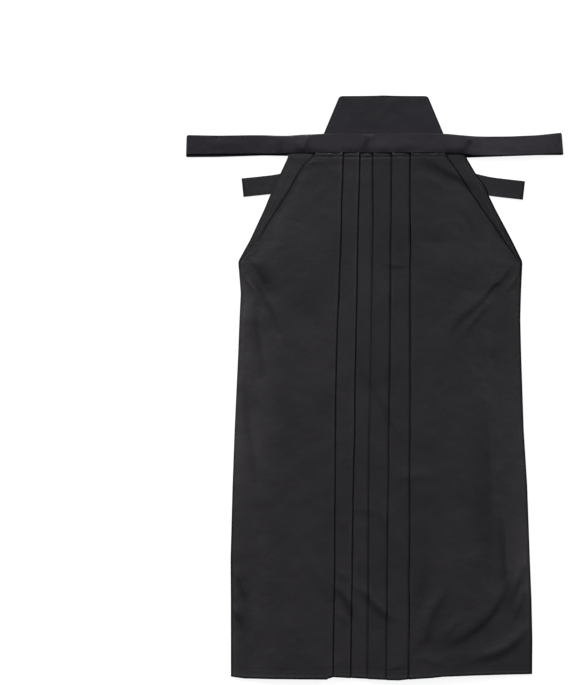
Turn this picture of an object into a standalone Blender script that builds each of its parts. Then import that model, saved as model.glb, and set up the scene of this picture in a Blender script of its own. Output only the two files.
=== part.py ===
"""Hakama trousers, laid flat on their back with the front up.

Sides are the wearer's. The wearer's right lies towards -X, the waist towards +Y and the front
faces +Z. Sizes are in millimetres until a mesh is made. Every cloth piece is a wall of one
thickness: a line across the cloth is worked out for each row between hem and waist, the line
turns through each pleat, and the wall is lofted through the rows.
"""
import math

import bmesh
import bpy
import numpy as np

MM = 0.001

# Whole garment: board top to hem, and tie end to tie end
LENGTH = 1020.0
REACH = 659.4

# Cloth
CLOTH = 1.0
GAP = 0.3
PITCH = CLOTH + GAP
HALF = CLOTH / 2
FOLD_R = PITCH / 2
FOLD_REACH = FOLD_R + HALF
SEAM = GAP / 2

# The garment's outline at both sides, hem to waist
OUTLINE_ROWS = [
    dict(along=-505, right=-250.8, left=274.6),
    dict(along=-441, right=-250.9, left=275.1),
    dict(along=-371, right=-251.0, left=273.6),
    dict(along=-300, right=-251.4, left=270.7),
    dict(along=-170, right=-247.9, left=266.0),
    dict(along=-75, right=-244.4, left=260.0),
    dict(along=60, right=-238.1, left=255.4),
    dict(along=120, right=-235.8, left=254.0),
    dict(along=165, right=-233.6, left=255.2),
    dict(along=220, right=-238.1, left=257.7),
    dict(along=257, right=-217.6, left=239.4),
    dict(along=311, right=-192.4, left=210.6),
    dict(along=335, right=-182.6, left=198.8),
    dict(along=354, right=-174.0, left=192.0),
    dict(along=371, right=-165.6, left=177.4),
    dict(along=401, right=-151.6, left=159.6),
    dict(along=425, right=-147.0, left=154.5),
]

# Front edge of each side pleat, from the top of the side seam to the waist
SIDE_PLEAT_ROWS = [
    dict(along=220, right=-232.0, left=253.0),
    dict(along=257, right=-203.0, left=225.5),
    dict(along=286, right=-188.0, left=206.5),
    dict(along=311, right=-171.0, left=188.5),
    dict(along=344, right=-150.1, left=165.8),
    dict(along=378, right=-132.0, left=144.0),
    dict(along=393, right=-120.0, left=133.0),
    dict(along=405, right=-106.0, left=124.0),
    dict(along=425, right=-104.0, left=122.0),
]

# Edges of the five front pleats, counted from the wearer's right
PLEAT_ROWS = [
    dict(along=-505, one=-73.6, two=-43.2, three=-11.6, four=20.3, five=59.6),
    dict(along=-266, one=-71.0, two=-40.3, three=-10.6, four=23.3, five=61.0),
    dict(along=-22, one=-69.3, two=-35.4, three=-7.6, four=25.6, five=61.7),
    dict(along=88, one=-66.5, two=-34.0, three=-5.5, four=27.5, five=62.4),
    dict(along=270, one=-59.8, two=-30.3, three=-2.6, four=28.9, five=61.9),
    dict(along=425, one=-56.0, two=-26.8, three=-2.7, four=29.8, five=61.7),
]

# The hem's edge across the garment
HEM_ROWS = [
    dict(across=-250, hem=-504.4),
    dict(across=-226, hem=-507.4),
    dict(across=-84, hem=-508.6),
    dict(across=-77, hem=-504.2),
    dict(across=-12, hem=-508.0),
    dict(across=20, hem=-509.5),
    dict(across=42, hem=-LENGTH / 2),
    dict(across=60, hem=-508.0),
    dict(across=98, hem=-505.6),
    dict(across=119, hem=-503.4),
    dict(across=170, hem=-501.6),
    dict(across=275, hem=-499.9),
]

# Heights of the middle of the cloth above the floor, and how deep the pleats are folded.
# core: lowest layer of the front pleats. edge: the front at its side edge.
# right_in, left_in: the hidden fold of each side pleat. tuck: its depth. deep: front pleat depth.
FRONT_ROWS = [
    dict(along=-505, core=4.4, edge=1.8, right_in=1.8, left_in=1.8, tuck=1, deep=42),
    dict(along=220, core=4.4, edge=1.8, right_in=1.8, left_in=1.8, tuck=1, deep=42),
    dict(along=245, core=4.4, edge=1.9, right_in=2.4, left_in=2.6, tuck=4, deep=41),
    dict(along=305, core=4.4, edge=3.0, right_in=4.2, left_in=5.0, tuck=9, deep=38),
    dict(along=330, core=4.4, edge=4.0, right_in=5.2, left_in=6.2, tuck=11, deep=36),
    dict(along=390, core=4.6, edge=4.4, right_in=7.0, left_in=9.4, tuck=12, deep=32),
    dict(along=400, core=5.1, edge=5.1, right_in=7.7, left_in=10.3, tuck=12, deep=30),
    dict(along=425, core=5.1, edge=5.1, right_in=7.7, left_in=10.3, tuck=12, deep=30),
]
FRONT_TOP = 425
SEAM_TOP = 220
FRONT_STATIONS = [-505, -480, -455, -430, -410, -390, -365, -340, -310, -275, -230, -160, -90,
                  -20, 30, 65, 127, 148, 220, 238, 257, 286, 311, 335, 354, 371, 384, 393, 401,
                  408, FRONT_TOP]

# Below the top of the side seam the side pleat opens out into the flat panel.
# below: distance under the seam top. turn: how far the cloth still turns. arc: length of a bend.
# reach: cloth between the two bends.
OPENING_ROWS = [
    dict(below=0, turn=180, arc=math.pi * FOLD_R, reach=1.0),
    dict(below=8, turn=120, arc=1.4, reach=1.2),
    dict(below=17, turn=60, arc=1.3, reach=1.5),
    dict(below=30, turn=25, arc=3.0, reach=2.0),
    dict(below=52, turn=7, arc=8.0, reach=8.0),
    dict(below=120, turn=0, arc=8.0, reach=8.0),
]
SEAM_RUN = 1.5
PANEL_SPANS = 13

# Folds that lie across the fronts, each a ridge from one end to the other.
# left, right: how wide it falls away on either side, seen from its start. One side is steeper.
SOFT_FOLD_ROWS = [
    dict(x0=-218, y0=224, x1=-188, y1=171, left=14, right=9, height=1.3),
    dict(x0=-214, y0=188, x1=-165, y1=82, left=20, right=9, height=2.4),
    dict(x0=-205, y0=130, x1=-189, y1=19, left=16, right=9, height=1.8),
    dict(x0=-162, y0=48, x1=-153, y1=-336, left=34, right=26, height=1.3),
    dict(x0=-249, y0=-314, x1=-225, y1=-372, left=12, right=8, height=2.0),
    dict(x0=-225, y0=-378, x1=-197, y1=-451, left=14, right=9, height=1.3),
    dict(x0=-123, y0=-294, x1=-76, y1=-375, left=16, right=9, height=1.6),
    dict(x0=98, y0=385, x1=168, y1=342, left=16, right=8, height=1.5),
    dict(x0=242, y0=222, x1=123, y1=95, left=9, right=20, height=2.6),
    dict(x0=110, y0=247, x1=160, y1=-92, left=30, right=28, height=1.2),
    dict(x0=197, y0=-13, x1=199, y1=-361, left=12, right=30, height=2.0),
    dict(x0=231, y0=-332, x1=188, y1=-407, left=9, right=22, height=3.6),
    dict(x0=198, y0=-396, x1=114, y1=-442, left=9, right=22, height=3.6),
    dict(x0=270, y0=-415, x1=163, y1=-474, left=9, right=14, height=3.0),
    dict(x0=271, y0=-293, x1=238, y1=-370, left=8, right=12, height=1.8),
    dict(x0=125, y0=-353, x1=74, y1=-448, left=8, right=16, height=2.4),
]
FOLDS_END = 402
FOLDS_FADE = 20

# Backs
BACK_TOP = 393.7
BACK_FOLD = 12.0
BACK_DEEP = 40.0
BACK_STATIONS = [-505, -300, -120, 60, 165, 220, 280, 340, BACK_TOP]

# Stiff board
BOARD_FOOT = 394.0
BOARD_TOP = LENGTH / 2
BOARD_TOP_WIDTH = 155.0
BOARD_FOOT_WIDTH = 252.0
BOARD_MIDDLE = 15.6
BOARD_THICK = 3.0
BOARD_CORNER = 3.5

# Front strip. across: place along the strip; foot and top: its two long edges;
# low and high: heights of its back and front layers.
TIE_LOW = 3.1
TIE_HIGH = TIE_LOW + PITCH
BAND_LOW = 3.8
STRIP_ROWS = [
    dict(across=-273, foot=408.0, top=439.8, low=TIE_LOW, high=TIE_HIGH),
    dict(across=-215, foot=408.6, top=440.6, low=TIE_LOW, high=TIE_HIGH),
    dict(across=-190, foot=408.5, top=440.5, low=TIE_LOW, high=TIE_HIGH + 0.2),
    dict(across=-172, foot=408.4, top=439.6, low=TIE_LOW + 0.3, high=5.6),
    dict(across=-150, foot=409.0, top=439.4, low=BAND_LOW, high=7.4),
    dict(across=-128, foot=409.6, top=441.2, low=BAND_LOW, high=9.6),
    dict(across=-107, foot=409.6, top=442.6, low=BAND_LOW, high=11.8),
    dict(across=-82, foot=409.7, top=443.2, low=BAND_LOW, high=11.8),
    dict(across=-55, foot=409.9, top=443.4, low=BAND_LOW, high=11.8),
    dict(across=-26, foot=410.2, top=443.0, low=BAND_LOW, high=9.4),
    dict(across=-15, foot=410.2, top=442.8, low=BAND_LOW, high=8.8),
    dict(across=-5, foot=410.0, top=442.8, low=BAND_LOW, high=9.4),
    dict(across=26, foot=409.8, top=443.0, low=BAND_LOW, high=12.0),
    dict(across=60, foot=409.6, top=443.2, low=BAND_LOW, high=14.5),
    dict(across=92, foot=409.4, top=443.0, low=BAND_LOW, high=14.5),
    dict(across=126, foot=409.0, top=442.4, low=BAND_LOW, high=14.5),
    dict(across=143, foot=408.6, top=440.8, low=BAND_LOW, high=11.4),
    dict(across=160, foot=407.4, top=439.6, low=BAND_LOW, high=8.4),
    dict(across=176, foot=405.6, top=438.4, low=TIE_LOW + 0.4, high=6.2),
    dict(across=196, foot=405.0, top=438.1, low=TIE_LOW, high=TIE_HIGH + 0.2),
    dict(across=236, foot=405.6, top=438.4, low=TIE_LOW, high=TIE_HIGH),
    dict(across=284, foot=406.8, top=440.5, low=TIE_LOW, high=TIE_HIGH),
]
RIGHT_TIE_END = dict(foot=407.2, top=440.8, lean=0.03)
LEFT_TIE_END = dict(foot=409.6, top=445.0, lean=-0.08)
RIGHT_RETURN_ROWS = [
    dict(across=-273, foot=402.8, top=434.6),
    dict(across=-193, foot=405.4, top=437.0),
    dict(across=-112, foot=404.0, top=435.6),
]
LEFT_RETURN_ROWS = [
    dict(across=284, foot=405.9, top=438.4),
    dict(across=198, foot=402.9, top=435.0),
    dict(across=150, foot=401.2, top=433.4),
]
RETURN_MIDDLE = HALF + PITCH / 2

# Back ties: middle line of each, from its root at the foot of the board to its end
BACK_TIE_WIDTH = 32.6
BACK_TIE_REST = PITCH + HALF + PITCH / 2
RIGHT_BACK_TIE_ROWS = [
    dict(x=-58.0, y=376.8, z=BACK_TIE_REST),
    dict(x=-92.0, y=375.6, z=BACK_TIE_REST),
    dict(x=-124.0, y=368.5, z=BACK_TIE_REST),
    dict(x=-154.0, y=359.0, z=BACK_TIE_REST),
    dict(x=-175.0, y=355.0, z=RETURN_MIDDLE),
    dict(x=-202.0, y=352.1, z=RETURN_MIDDLE),
    dict(x=-230.6, y=349.2, z=RETURN_MIDDLE),
]
LEFT_BACK_TIE_ROWS = [
    dict(x=74.0, y=376.8, z=BACK_TIE_REST),
    dict(x=112.0, y=374.8, z=BACK_TIE_REST),
    dict(x=146.0, y=365.4, z=BACK_TIE_REST),
    dict(x=180.0, y=355.6, z=BACK_TIE_REST),
    dict(x=202.0, y=351.0, z=RETURN_MIDDLE),
    dict(x=228.0, y=347.9, z=RETURN_MIDDLE),
    dict(x=260.4, y=344.3, z=RETURN_MIDDLE),
]

# Colours, linear
CHARCOAL = (0.026, 0.024, 0.028, 1.0)
BAND_BLACK = (0.029, 0.026, 0.032, 1.0)


def clear_scene():
    for thing in list(bpy.data.objects):
        bpy.data.objects.remove(thing, do_unlink=True)


def read(rows, column, at, key="along"):
    """Value of one column at a place between the rows."""
    places = [row[key] for row in rows]
    values = [row[column] for row in rows]
    return float(np.interp(at, places, values))


def cloth_material(name, colour):
    material = bpy.data.materials.new(name)
    material.use_nodes = True
    shader = material.node_tree.nodes["Principled BSDF"]
    shader.inputs["Base Color"].default_value = colour
    shader.inputs["Roughness"].default_value = 0.78
    shader.inputs["Metallic"].default_value = 0.0
    material.diffuse_color = colour
    return material


def add_object(name, mesh, material):
    mesh.materials.append(material)
    piece = bpy.data.objects.new(name, mesh)
    bpy.context.scene.collection.objects.link(piece)
    return piece


def side_normals(line):
    """Unit normals of a line of (u, v) points, lengthened at bends so that the wall stays even."""
    points = np.array(line, dtype=float)
    steps = np.diff(points, axis=0)
    steps = steps / np.linalg.norm(steps, axis=1)[:, None]
    turned = np.column_stack([-steps[:, 1], steps[:, 0]])
    before = np.vstack([turned[:1], turned])
    after = np.vstack([turned, turned[-1:]])
    middle = before + after
    middle = middle / np.linalg.norm(middle, axis=1)[:, None]
    stretch = 1.0 / np.maximum(np.sum(middle * after, axis=1), 0.5)
    return middle * stretch[:, None]


def wall_mesh(name, upper_rows, lower_rows):
    """Closed wall between two grids of points, one above and one below the cloth's middle."""
    model = bmesh.new()
    grids = []
    for rows in (upper_rows, lower_rows):
        grid = []
        for row in rows:
            grid.append([model.verts.new([value * MM for value in point]) for point in row])
        grids.append(grid)
    upper, lower = grids
    last_row = len(upper) - 1
    last_point = len(upper[0]) - 1
    for r in range(last_row):
        for p in range(last_point):
            model.faces.new([upper[r][p], upper[r][p + 1], upper[r + 1][p + 1], upper[r + 1][p]])
            model.faces.new([lower[r][p], lower[r + 1][p], lower[r + 1][p + 1], lower[r][p + 1]])
    for p in range(last_point):
        for r in (0, last_row):
            model.faces.new([upper[r][p], upper[r][p + 1], lower[r][p + 1], lower[r][p]])
    for r in range(last_row):
        for p in (0, last_point):
            model.faces.new([upper[r][p], upper[r + 1][p], lower[r + 1][p], lower[r][p]])
    bmesh.ops.recalc_face_normals(model, faces=model.faces)
    mesh = bpy.data.meshes.new(name)
    model.to_mesh(mesh)
    model.free()
    mesh.shade_smooth()
    mesh.set_sharp_from_angle(angle=math.radians(50))
    return mesh


def bend(x, z_from, z_to, side):
    """Half a turn of the cloth at a pleat's edge, bulging towards side."""
    middle = (z_from + z_to) / 2
    radius = (z_from - z_to) / 2
    points = []
    for step in range(4):
        angle = math.pi * step / 3
        points.append((x + side * abs(radius) * math.sin(angle), middle + radius * math.cos(angle)))
    return points


def soft_folds(x, y):
    """Height added by the folds at one place. They end below the band."""
    total = 0.0
    for fold in SOFT_FOLD_ROWS:
        start = np.array([fold["x0"], fold["y0"]])
        run = np.array([fold["x1"], fold["y1"]]) - start
        away = np.array([x, y]) - start
        along = float(away @ run) / float(run @ run)
        across = float(away[0] * run[1] - away[1] * run[0]) / float(np.linalg.norm(run))
        width = fold["right"] if across > 0 else fold["left"]
        ends = math.exp(-((along - 0.5) / 0.5) ** 4)
        total += fold["height"] * ends * math.exp(-((across / width) ** 2))
    return total * min(1.0, max(0.0, (FOLDS_END - y) / FOLDS_FADE))


def side_pleat_line(side, along):
    """Side pleat from the panel outwards: (x, z) points, and the place where the panel meets it."""
    name = "right" if side < 0 else "left"
    outline = read(OUTLINE_ROWS, name, along)
    edge_z = read(FRONT_ROWS, "edge", along)
    if along >= SEAM_TOP:
        inner_z = read(FRONT_ROWS, name + "_in", along)
        tuck = read(FRONT_ROWS, "tuck", along)
        front = read(SIDE_PLEAT_ROWS, name, along) - side * FOLD_REACH
        hidden = front - side * tuck
        line = bend(front, inner_z + 2 * PITCH, inner_z + PITCH, side)
        line += bend(hidden, inner_z + PITCH, inner_z, -side)
        middle = (hidden + outline) / 2
        line.append((middle, (inner_z + edge_z) / 2))
        line.append((outline, edge_z))
        return line
    below = SEAM_TOP - along
    turn = math.radians(read(OPENING_ROWS, "turn", below, "below"))
    arc = read(OPENING_ROWS, "arc", below, "below")
    reach = read(OPENING_ROWS, "reach", below, "below")
    heading = 0.0
    x = 0.0
    z = 0.0
    line = [(x, z)]
    for part in range(2):
        for step in range(3):
            heading_step = turn / 3 * (1 if part == 0 else -1)
            heading += heading_step / 2
            x += arc / 3 * math.cos(heading)
            z -= arc / 3 * math.sin(heading)
            heading += heading_step / 2
            line.append((x, z))
        if part == 0:
            x += reach * math.cos(heading)
            z -= reach * math.sin(heading)
            line.append((x, z))
    line.append((x + SEAM_RUN, z))
    line.append((x + 2 * SEAM_RUN, z))
    end_x, end_z = line[-1]
    return [(outline + side * (px - end_x), edge_z + pz - end_z) for px, pz in line]


def front_line(side, along, edges):
    """Line across one front from the side edge to the centre, through all its pleats."""
    core = read(FRONT_ROWS, "core", along)
    deep = read(FRONT_ROWS, "deep", along)
    pleat = side_pleat_line(side, along)
    line = list(reversed(pleat))
    joint_x, joint_z = pleat[0]
    level = 2 * len(edges)
    top = core + level * PITCH
    first_edge = read(PLEAT_ROWS, edges[0], along) + side * FOLD_REACH
    shelf = first_edge + side * (deep + 3)
    spans = PANEL_SPANS
    for step in range(1, spans):
        share = step / spans
        x = joint_x + (shelf - joint_x) * share
        z = joint_z + (top - joint_z) * share ** 1.7
        line.append((x, z + soft_folds(x, along)))
    line.append((shelf, top))
    edge_places = [read(PLEAT_ROWS, edge, along) for edge in edges]
    for place, next_place in zip(edge_places, edge_places[1:] + [side * SEAM]):
        x = place + side * FOLD_REACH
        z = core + level * PITCH
        line += bend(x, z, z - PITCH, -side)
        level -= 2
        z = core + level * PITCH
        line += bend(x + side * deep, z + PITCH, z, side)
        if side * place > 0:
            line.append((place, z))
            line.append(((place + next_place) / 2, z))
    line.append((side * SEAM, core))
    return line


def back_line(side, along):
    """Line across one back from the side edge to the centre back seam."""
    name = "right" if side < 0 else "left"
    if along > SEAM_TOP:
        share = (along - SEAM_TOP) / (BACK_TOP - SEAM_TOP)
        low = read(OUTLINE_ROWS, name, SEAM_TOP)
        high = BOARD_MIDDLE + side * BOARD_FOOT_WIDTH / 2
        outer = low + (high - low) * share
    else:
        outer = read(OUTLINE_ROWS, name, along)
    fold = side * (BACK_FOLD + FOLD_REACH)
    line = []
    spans = 4
    for step in range(spans):
        line.append((outer + (fold - outer) * step / spans, HALF))
    line += bend(fold, HALF, HALF + PITCH, -side)
    line += bend(fold + side * BACK_DEEP, HALF + PITCH, HALF + 2 * PITCH, side)
    line.append((side * SEAM, HALF + 2 * PITCH))
    return line


def loft_panel(name, stations, line_at, material):
    """Wall through one line per station. The lowest station follows the hem's edge."""
    upper_rows = []
    lower_rows = []
    for station in stations:
        line = line_at(station)
        normals = side_normals(line)
        upper = []
        lower = []
        for (x, z), (nx, nz) in zip(line, normals):
            y = read(HEM_ROWS, "hem", x, "across") if station == stations[0] else station
            upper.append((x + nx * HALF, y, z + nz * HALF))
            lower.append((x - nx * HALF, y, z - nz * HALF))
        upper_rows.append(upper)
        lower_rows.append(lower)
    return add_object(name, wall_mesh(name, upper_rows, lower_rows), material)


def front_stations():
    """Front stations with the extra rows where the side pleats open out."""
    extra = [SEAM_TOP - row["below"] for row in OPENING_ROWS[1:]]
    return sorted(FRONT_STATIONS + extra)


def make_fronts(material):
    stations = front_stations()
    right = loft_panel("right_front", stations,
                       lambda along: front_line(-1, along, ["one", "two"]), material)
    left = loft_panel("left_front", stations,
                      lambda along: front_line(1, along, ["five", "four", "three"]), material)
    return right, left


def make_backs(material):
    right = loft_panel("right_back", BACK_STATIONS, lambda along: back_line(-1, along), material)
    left = loft_panel("left_back", BACK_STATIONS, lambda along: back_line(1, along), material)
    return right, left


def strip_section(foot, top, low, high):
    """Cross-section of a strip folded lengthwise: from one long edge up, over and down."""
    radius = (high - low) / 2
    crown = top - HALF - radius
    middle = (foot + crown) / 2
    line = [(foot, low), (middle, low)]
    for step in range(5):
        angle = math.pi * step / 4
        line.append((crown + radius * math.sin(angle), (low + high) / 2 - radius * math.cos(angle)))
    line += [(middle, high), (foot, high)]
    return line


def loft_strip(name, stations, material):
    """Wall through stations of (origin, across, normal, section) in millimetres."""
    upper_rows = []
    lower_rows = []
    for origin, across, normal, section in stations:
        normals = side_normals(section)
        upper = []
        lower = []
        for (a, n), (na, nn) in zip(section, normals):
            upper.append(origin + across * (a + na * HALF) + normal * (n + nn * HALF))
            lower.append(origin + across * (a - na * HALF) + normal * (n - nn * HALF))
        upper_rows.append(upper)
        lower_rows.append(lower)
    return add_object(name, wall_mesh(name, upper_rows, lower_rows), material)


def strip_station(x, z, heading, foot, top, low, high, lean=0.0):
    """Station of the front strip whose length runs in the XZ plane at the given heading."""
    angle = math.radians(heading)
    normal = np.array([-math.sin(angle), 0.0, math.cos(angle)])
    middle = (foot + top) / 2
    origin = np.array([x - lean * middle, 0.0, z])
    across = np.array([lean, 1.0, 0.0])
    return origin, across, normal, strip_section(foot, top, low, high)


def tie_turn(side, end, back):
    """Five stations round the fold at the outer end of a front tie, from the top run down."""
    centre_z = (RETURN_MIDDLE + TIE_LOW + PITCH / 2) / 2
    radius = (TIE_LOW + PITCH / 2 - RETURN_MIDDLE) / 2
    slant = abs(end["lean"]) * (end["top"] - end["foot"]) / 2
    centre_x = REACH / 2 - slant - radius - HALF - PITCH / 2
    stations = []
    for step in range(5):
        share = step / 4
        heading = -180 * share
        angle = math.radians(heading)
        foot = end["foot"] + (back["foot"] - end["foot"]) * share
        top = end["top"] + (back["top"] - end["top"]) * share
        x = side * (centre_x - radius * math.sin(angle))
        z = centre_z + radius * math.cos(angle)
        turned = heading if side > 0 else -heading
        station = strip_station(x, z, turned, foot, top, -PITCH / 2, PITCH / 2, end["lean"])
        stations.append(station)
    return stations


def return_run(rows, heading):
    stations = []
    for row in rows:
        station = strip_station(row["across"], RETURN_MIDDLE, heading, row["foot"], row["top"],
                                -PITCH / 2, PITCH / 2)
        stations.append(station)
    return stations


def make_front_band(material):
    stations = list(reversed(return_run(RIGHT_RETURN_ROWS, 180)))
    stations += list(reversed(tie_turn(-1, RIGHT_TIE_END, RIGHT_RETURN_ROWS[0])))
    for row in STRIP_ROWS:
        middle = (row["low"] + row["high"]) / 2
        stations.append(strip_station(row["across"], middle, 0, row["foot"], row["top"],
                                      row["low"] - middle, row["high"] - middle))
    stations += tie_turn(1, LEFT_TIE_END, LEFT_RETURN_ROWS[0])
    stations += return_run(LEFT_RETURN_ROWS, -180)
    return loft_strip("front_band", stations, material)


def make_back_tie(name, rows, material):
    centres = np.array([[row["x"], row["y"], row["z"]] for row in rows])
    steps = np.gradient(centres[:, :2], axis=0)
    steps = steps / np.linalg.norm(steps, axis=1)[:, None]
    side = 1.0 if centres[-1][0] > centres[0][0] else -1.0
    half = BACK_TIE_WIDTH / 2
    stations = []
    for centre, (dx, dy) in zip(centres, steps):
        across = np.array([-dy * side, dx * side, 0.0])
        section = strip_section(-half, half, -PITCH / 2, PITCH / 2)
        stations.append((centre, across, np.array([0.0, 0.0, 1.0]), section))
    return loft_strip(name, stations, material)


def make_back_board(material):
    """Trapezoid board with round corners and soft edges."""
    half_top = BOARD_TOP_WIDTH / 2
    half_foot = BOARD_FOOT_WIDTH / 2
    corners = [(-half_foot, BOARD_FOOT), (half_foot, BOARD_FOOT),
               (half_top, BOARD_TOP), (-half_top, BOARD_TOP)]
    outline = []
    for index, corner in enumerate(corners):
        point = np.array(corner)
        before = np.array(corners[index - 1]) - point
        after = np.array(corners[(index + 1) % 4]) - point
        start = point + before / np.linalg.norm(before) * BOARD_CORNER
        end = point + after / np.linalg.norm(after) * BOARD_CORNER
        for step in range(5):
            t = step / 4
            outline.append(start * (1 - t) ** 2 + point * 2 * t * (1 - t) + end * t ** 2)
    model = bmesh.new()
    face = model.faces.new([model.verts.new(((x + BOARD_MIDDLE) * MM, y * MM, 0)) for x, y in outline])
    made = bmesh.ops.extrude_face_region(model, geom=[face])
    raised = [item for item in made["geom"] if isinstance(item, bmesh.types.BMVert)]
    bmesh.ops.translate(model, vec=(0, 0, BOARD_THICK * MM), verts=raised)
    bmesh.ops.recalc_face_normals(model, faces=model.faces)
    mesh = bpy.data.meshes.new("back_board")
    model.to_mesh(mesh)
    model.free()
    mesh.shade_smooth()
    board = add_object("back_board", mesh, material)
    soften = board.modifiers.new("Soft edges", "BEVEL")
    soften.width = 0.8 * MM
    soften.segments = 2
    soften.limit_method = "ANGLE"
    soften.angle_limit = math.radians(50)
    return board


def main():
    clear_scene()
    cloth = cloth_material("Charcoal cloth", CHARCOAL)
    band_cloth = cloth_material("Band cloth", BAND_BLACK)
    make_backs(cloth)
    make_fronts(cloth)
    make_back_board(band_cloth)
    make_front_band(band_cloth)
    make_back_tie("right_back_tie", RIGHT_BACK_TIE_ROWS, band_cloth)
    make_back_tie("left_back_tie", LEFT_BACK_TIE_ROWS, band_cloth)


main()
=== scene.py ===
# %% [markdown]
# # Hakama trousers, laid flat
# Hakama are wide pleated trousers. Here they lie on their back with the front up: five pressed
# pleats in the middle, a slanting pleat at each side, a stiff board at the back waist, and flat
# ties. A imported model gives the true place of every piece. This lesson dresses each piece in
# thin cloth, one after the other, and lights the result like a plain studio picture.

# %% Load the frame
import math

import bpy
import numpy as np
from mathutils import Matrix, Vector
from mathutils.bvhtree import BVHTree


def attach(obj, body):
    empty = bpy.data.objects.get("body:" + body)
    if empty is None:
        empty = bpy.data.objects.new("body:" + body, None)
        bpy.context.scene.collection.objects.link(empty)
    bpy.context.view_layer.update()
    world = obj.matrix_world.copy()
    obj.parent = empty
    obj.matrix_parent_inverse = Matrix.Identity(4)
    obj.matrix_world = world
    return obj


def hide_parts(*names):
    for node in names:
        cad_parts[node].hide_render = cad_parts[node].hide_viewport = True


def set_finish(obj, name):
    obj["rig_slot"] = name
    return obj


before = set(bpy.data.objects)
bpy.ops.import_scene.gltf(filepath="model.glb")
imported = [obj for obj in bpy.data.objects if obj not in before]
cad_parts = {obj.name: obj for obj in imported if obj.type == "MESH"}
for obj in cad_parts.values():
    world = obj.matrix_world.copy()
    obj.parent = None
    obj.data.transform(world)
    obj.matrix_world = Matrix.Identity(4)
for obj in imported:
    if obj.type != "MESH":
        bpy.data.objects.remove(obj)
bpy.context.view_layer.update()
scene = bpy.context.scene
print("nodes:", ", ".join(sorted(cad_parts)))

# %% [markdown]
# ## Camera and light
# A garment laid on the floor is photographed from straight above. A long lens keeps the far
# parts as large as the near ones, so the outline stays true. The picture shows about a metre of
# floor, with the garment right of the middle, and the camera hangs over the picture's middle.

# %% Camera
PICTURE_WIDE = 569
PICTURE_TALL = 685
MM_PER_PIXEL = 1.7466
MIDDLE_AT_PIXEL = (374.65, 387.5)
CAMERA_HEIGHT = 4.0
SENSOR = 36.0


def make_camera():
    tall = PICTURE_TALL * MM_PER_PIXEL / 1000
    data = bpy.data.cameras.new("Camera")
    data.sensor_width = SENSOR
    data.lens = SENSOR * CAMERA_HEIGHT / tall
    data.clip_start = 0.05
    data.clip_end = 60
    camera = bpy.data.objects.new("Camera", data)
    across = (PICTURE_WIDE / 2 - MIDDLE_AT_PIXEL[0]) * MM_PER_PIXEL / 1000
    up = (MIDDLE_AT_PIXEL[1] - PICTURE_TALL / 2) * MM_PER_PIXEL / 1000
    camera.location = (across, up, CAMERA_HEIGHT)
    scene.collection.objects.link(camera)
    scene.camera = camera
    print(f"camera over {across:.3f}, {up:.3f} m, lens {data.lens:.0f} mm")


make_camera()

# %% [markdown]
# Black cloth needs light that comes in low, or its folds disappear. The strongest light comes from
# beyond the waist and a little from the left, so the band and the ties have dark lower edges. A
# weaker one from the right opens the other side of the pleats. The floor glows like a light table,
# which keeps its shadows pale. The colours are shown as they are, without a film curve, so that
# black cloth keeps the tone given to it.

# %% Light and floor
FLOOR_SIZE = 14.0
FLOOR_WHITE = 0.22
FLOOR_GLOW = 0.9
WORLD_STRENGTH = 0.08
FLOOR_DROP = 0.0002
SUNS = [
    dict(name="Key sun", source=(-0.7, 1.0, 0.7), strength=4.3, width=12),
    dict(name="Fill sun", source=(1.0, 0.6, 0.7), strength=1.35, width=16),
]


def make_sun(name, source, strength, width):
    data = bpy.data.lights.new(name, "SUN")
    data.energy = strength
    data.angle = math.radians(width)
    sun = bpy.data.objects.new(name, data)
    sun.rotation_euler = Vector(source).to_track_quat("Z", "Y").to_euler()
    scene.collection.objects.link(sun)


def new_material(name):
    """A material with nodes, and its main shader."""
    material = bpy.data.materials.new(name)
    material.use_nodes = True
    return material, material.node_tree.nodes["Principled BSDF"]


def make_light_and_floor():
    scene.view_settings.view_transform = "Standard"
    world = bpy.data.worlds.new("Pale studio")
    world.use_nodes = True
    background = world.node_tree.nodes["Background"]
    background.inputs["Color"].default_value = (1.0, 1.0, 1.0, 1.0)
    background.inputs["Strength"].default_value = WORLD_STRENGTH
    scene.world = world
    for sun in SUNS:
        make_sun(**sun)

    half = FLOOR_SIZE / 2
    mesh = bpy.data.meshes.new("Floor")
    corners = [(-half, -half, 0), (half, -half, 0), (half, half, 0), (-half, half, 0)]
    mesh.from_pydata(corners, [], [(0, 1, 2, 3)])
    floor = bpy.data.objects.new("Floor", mesh)
    floor.location.z = -FLOOR_DROP
    scene.collection.objects.link(floor)
    white, shader = new_material("Floor white")
    shader.inputs["Base Color"].default_value = (FLOOR_WHITE, FLOOR_WHITE, FLOOR_WHITE, 1)
    shader.inputs["Roughness"].default_value = 0.9
    shader.inputs["Specular IOR Level"].default_value = 0.1
    shader.inputs["Emission Color"].default_value = (1, 1, 1, 1)
    shader.inputs["Emission Strength"].default_value = FLOOR_GLOW
    mesh.materials.append(white)
    print("floor", FLOOR_SIZE, "m,", len(SUNS), "suns, world", WORLD_STRENGTH)


make_light_and_floor()
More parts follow.
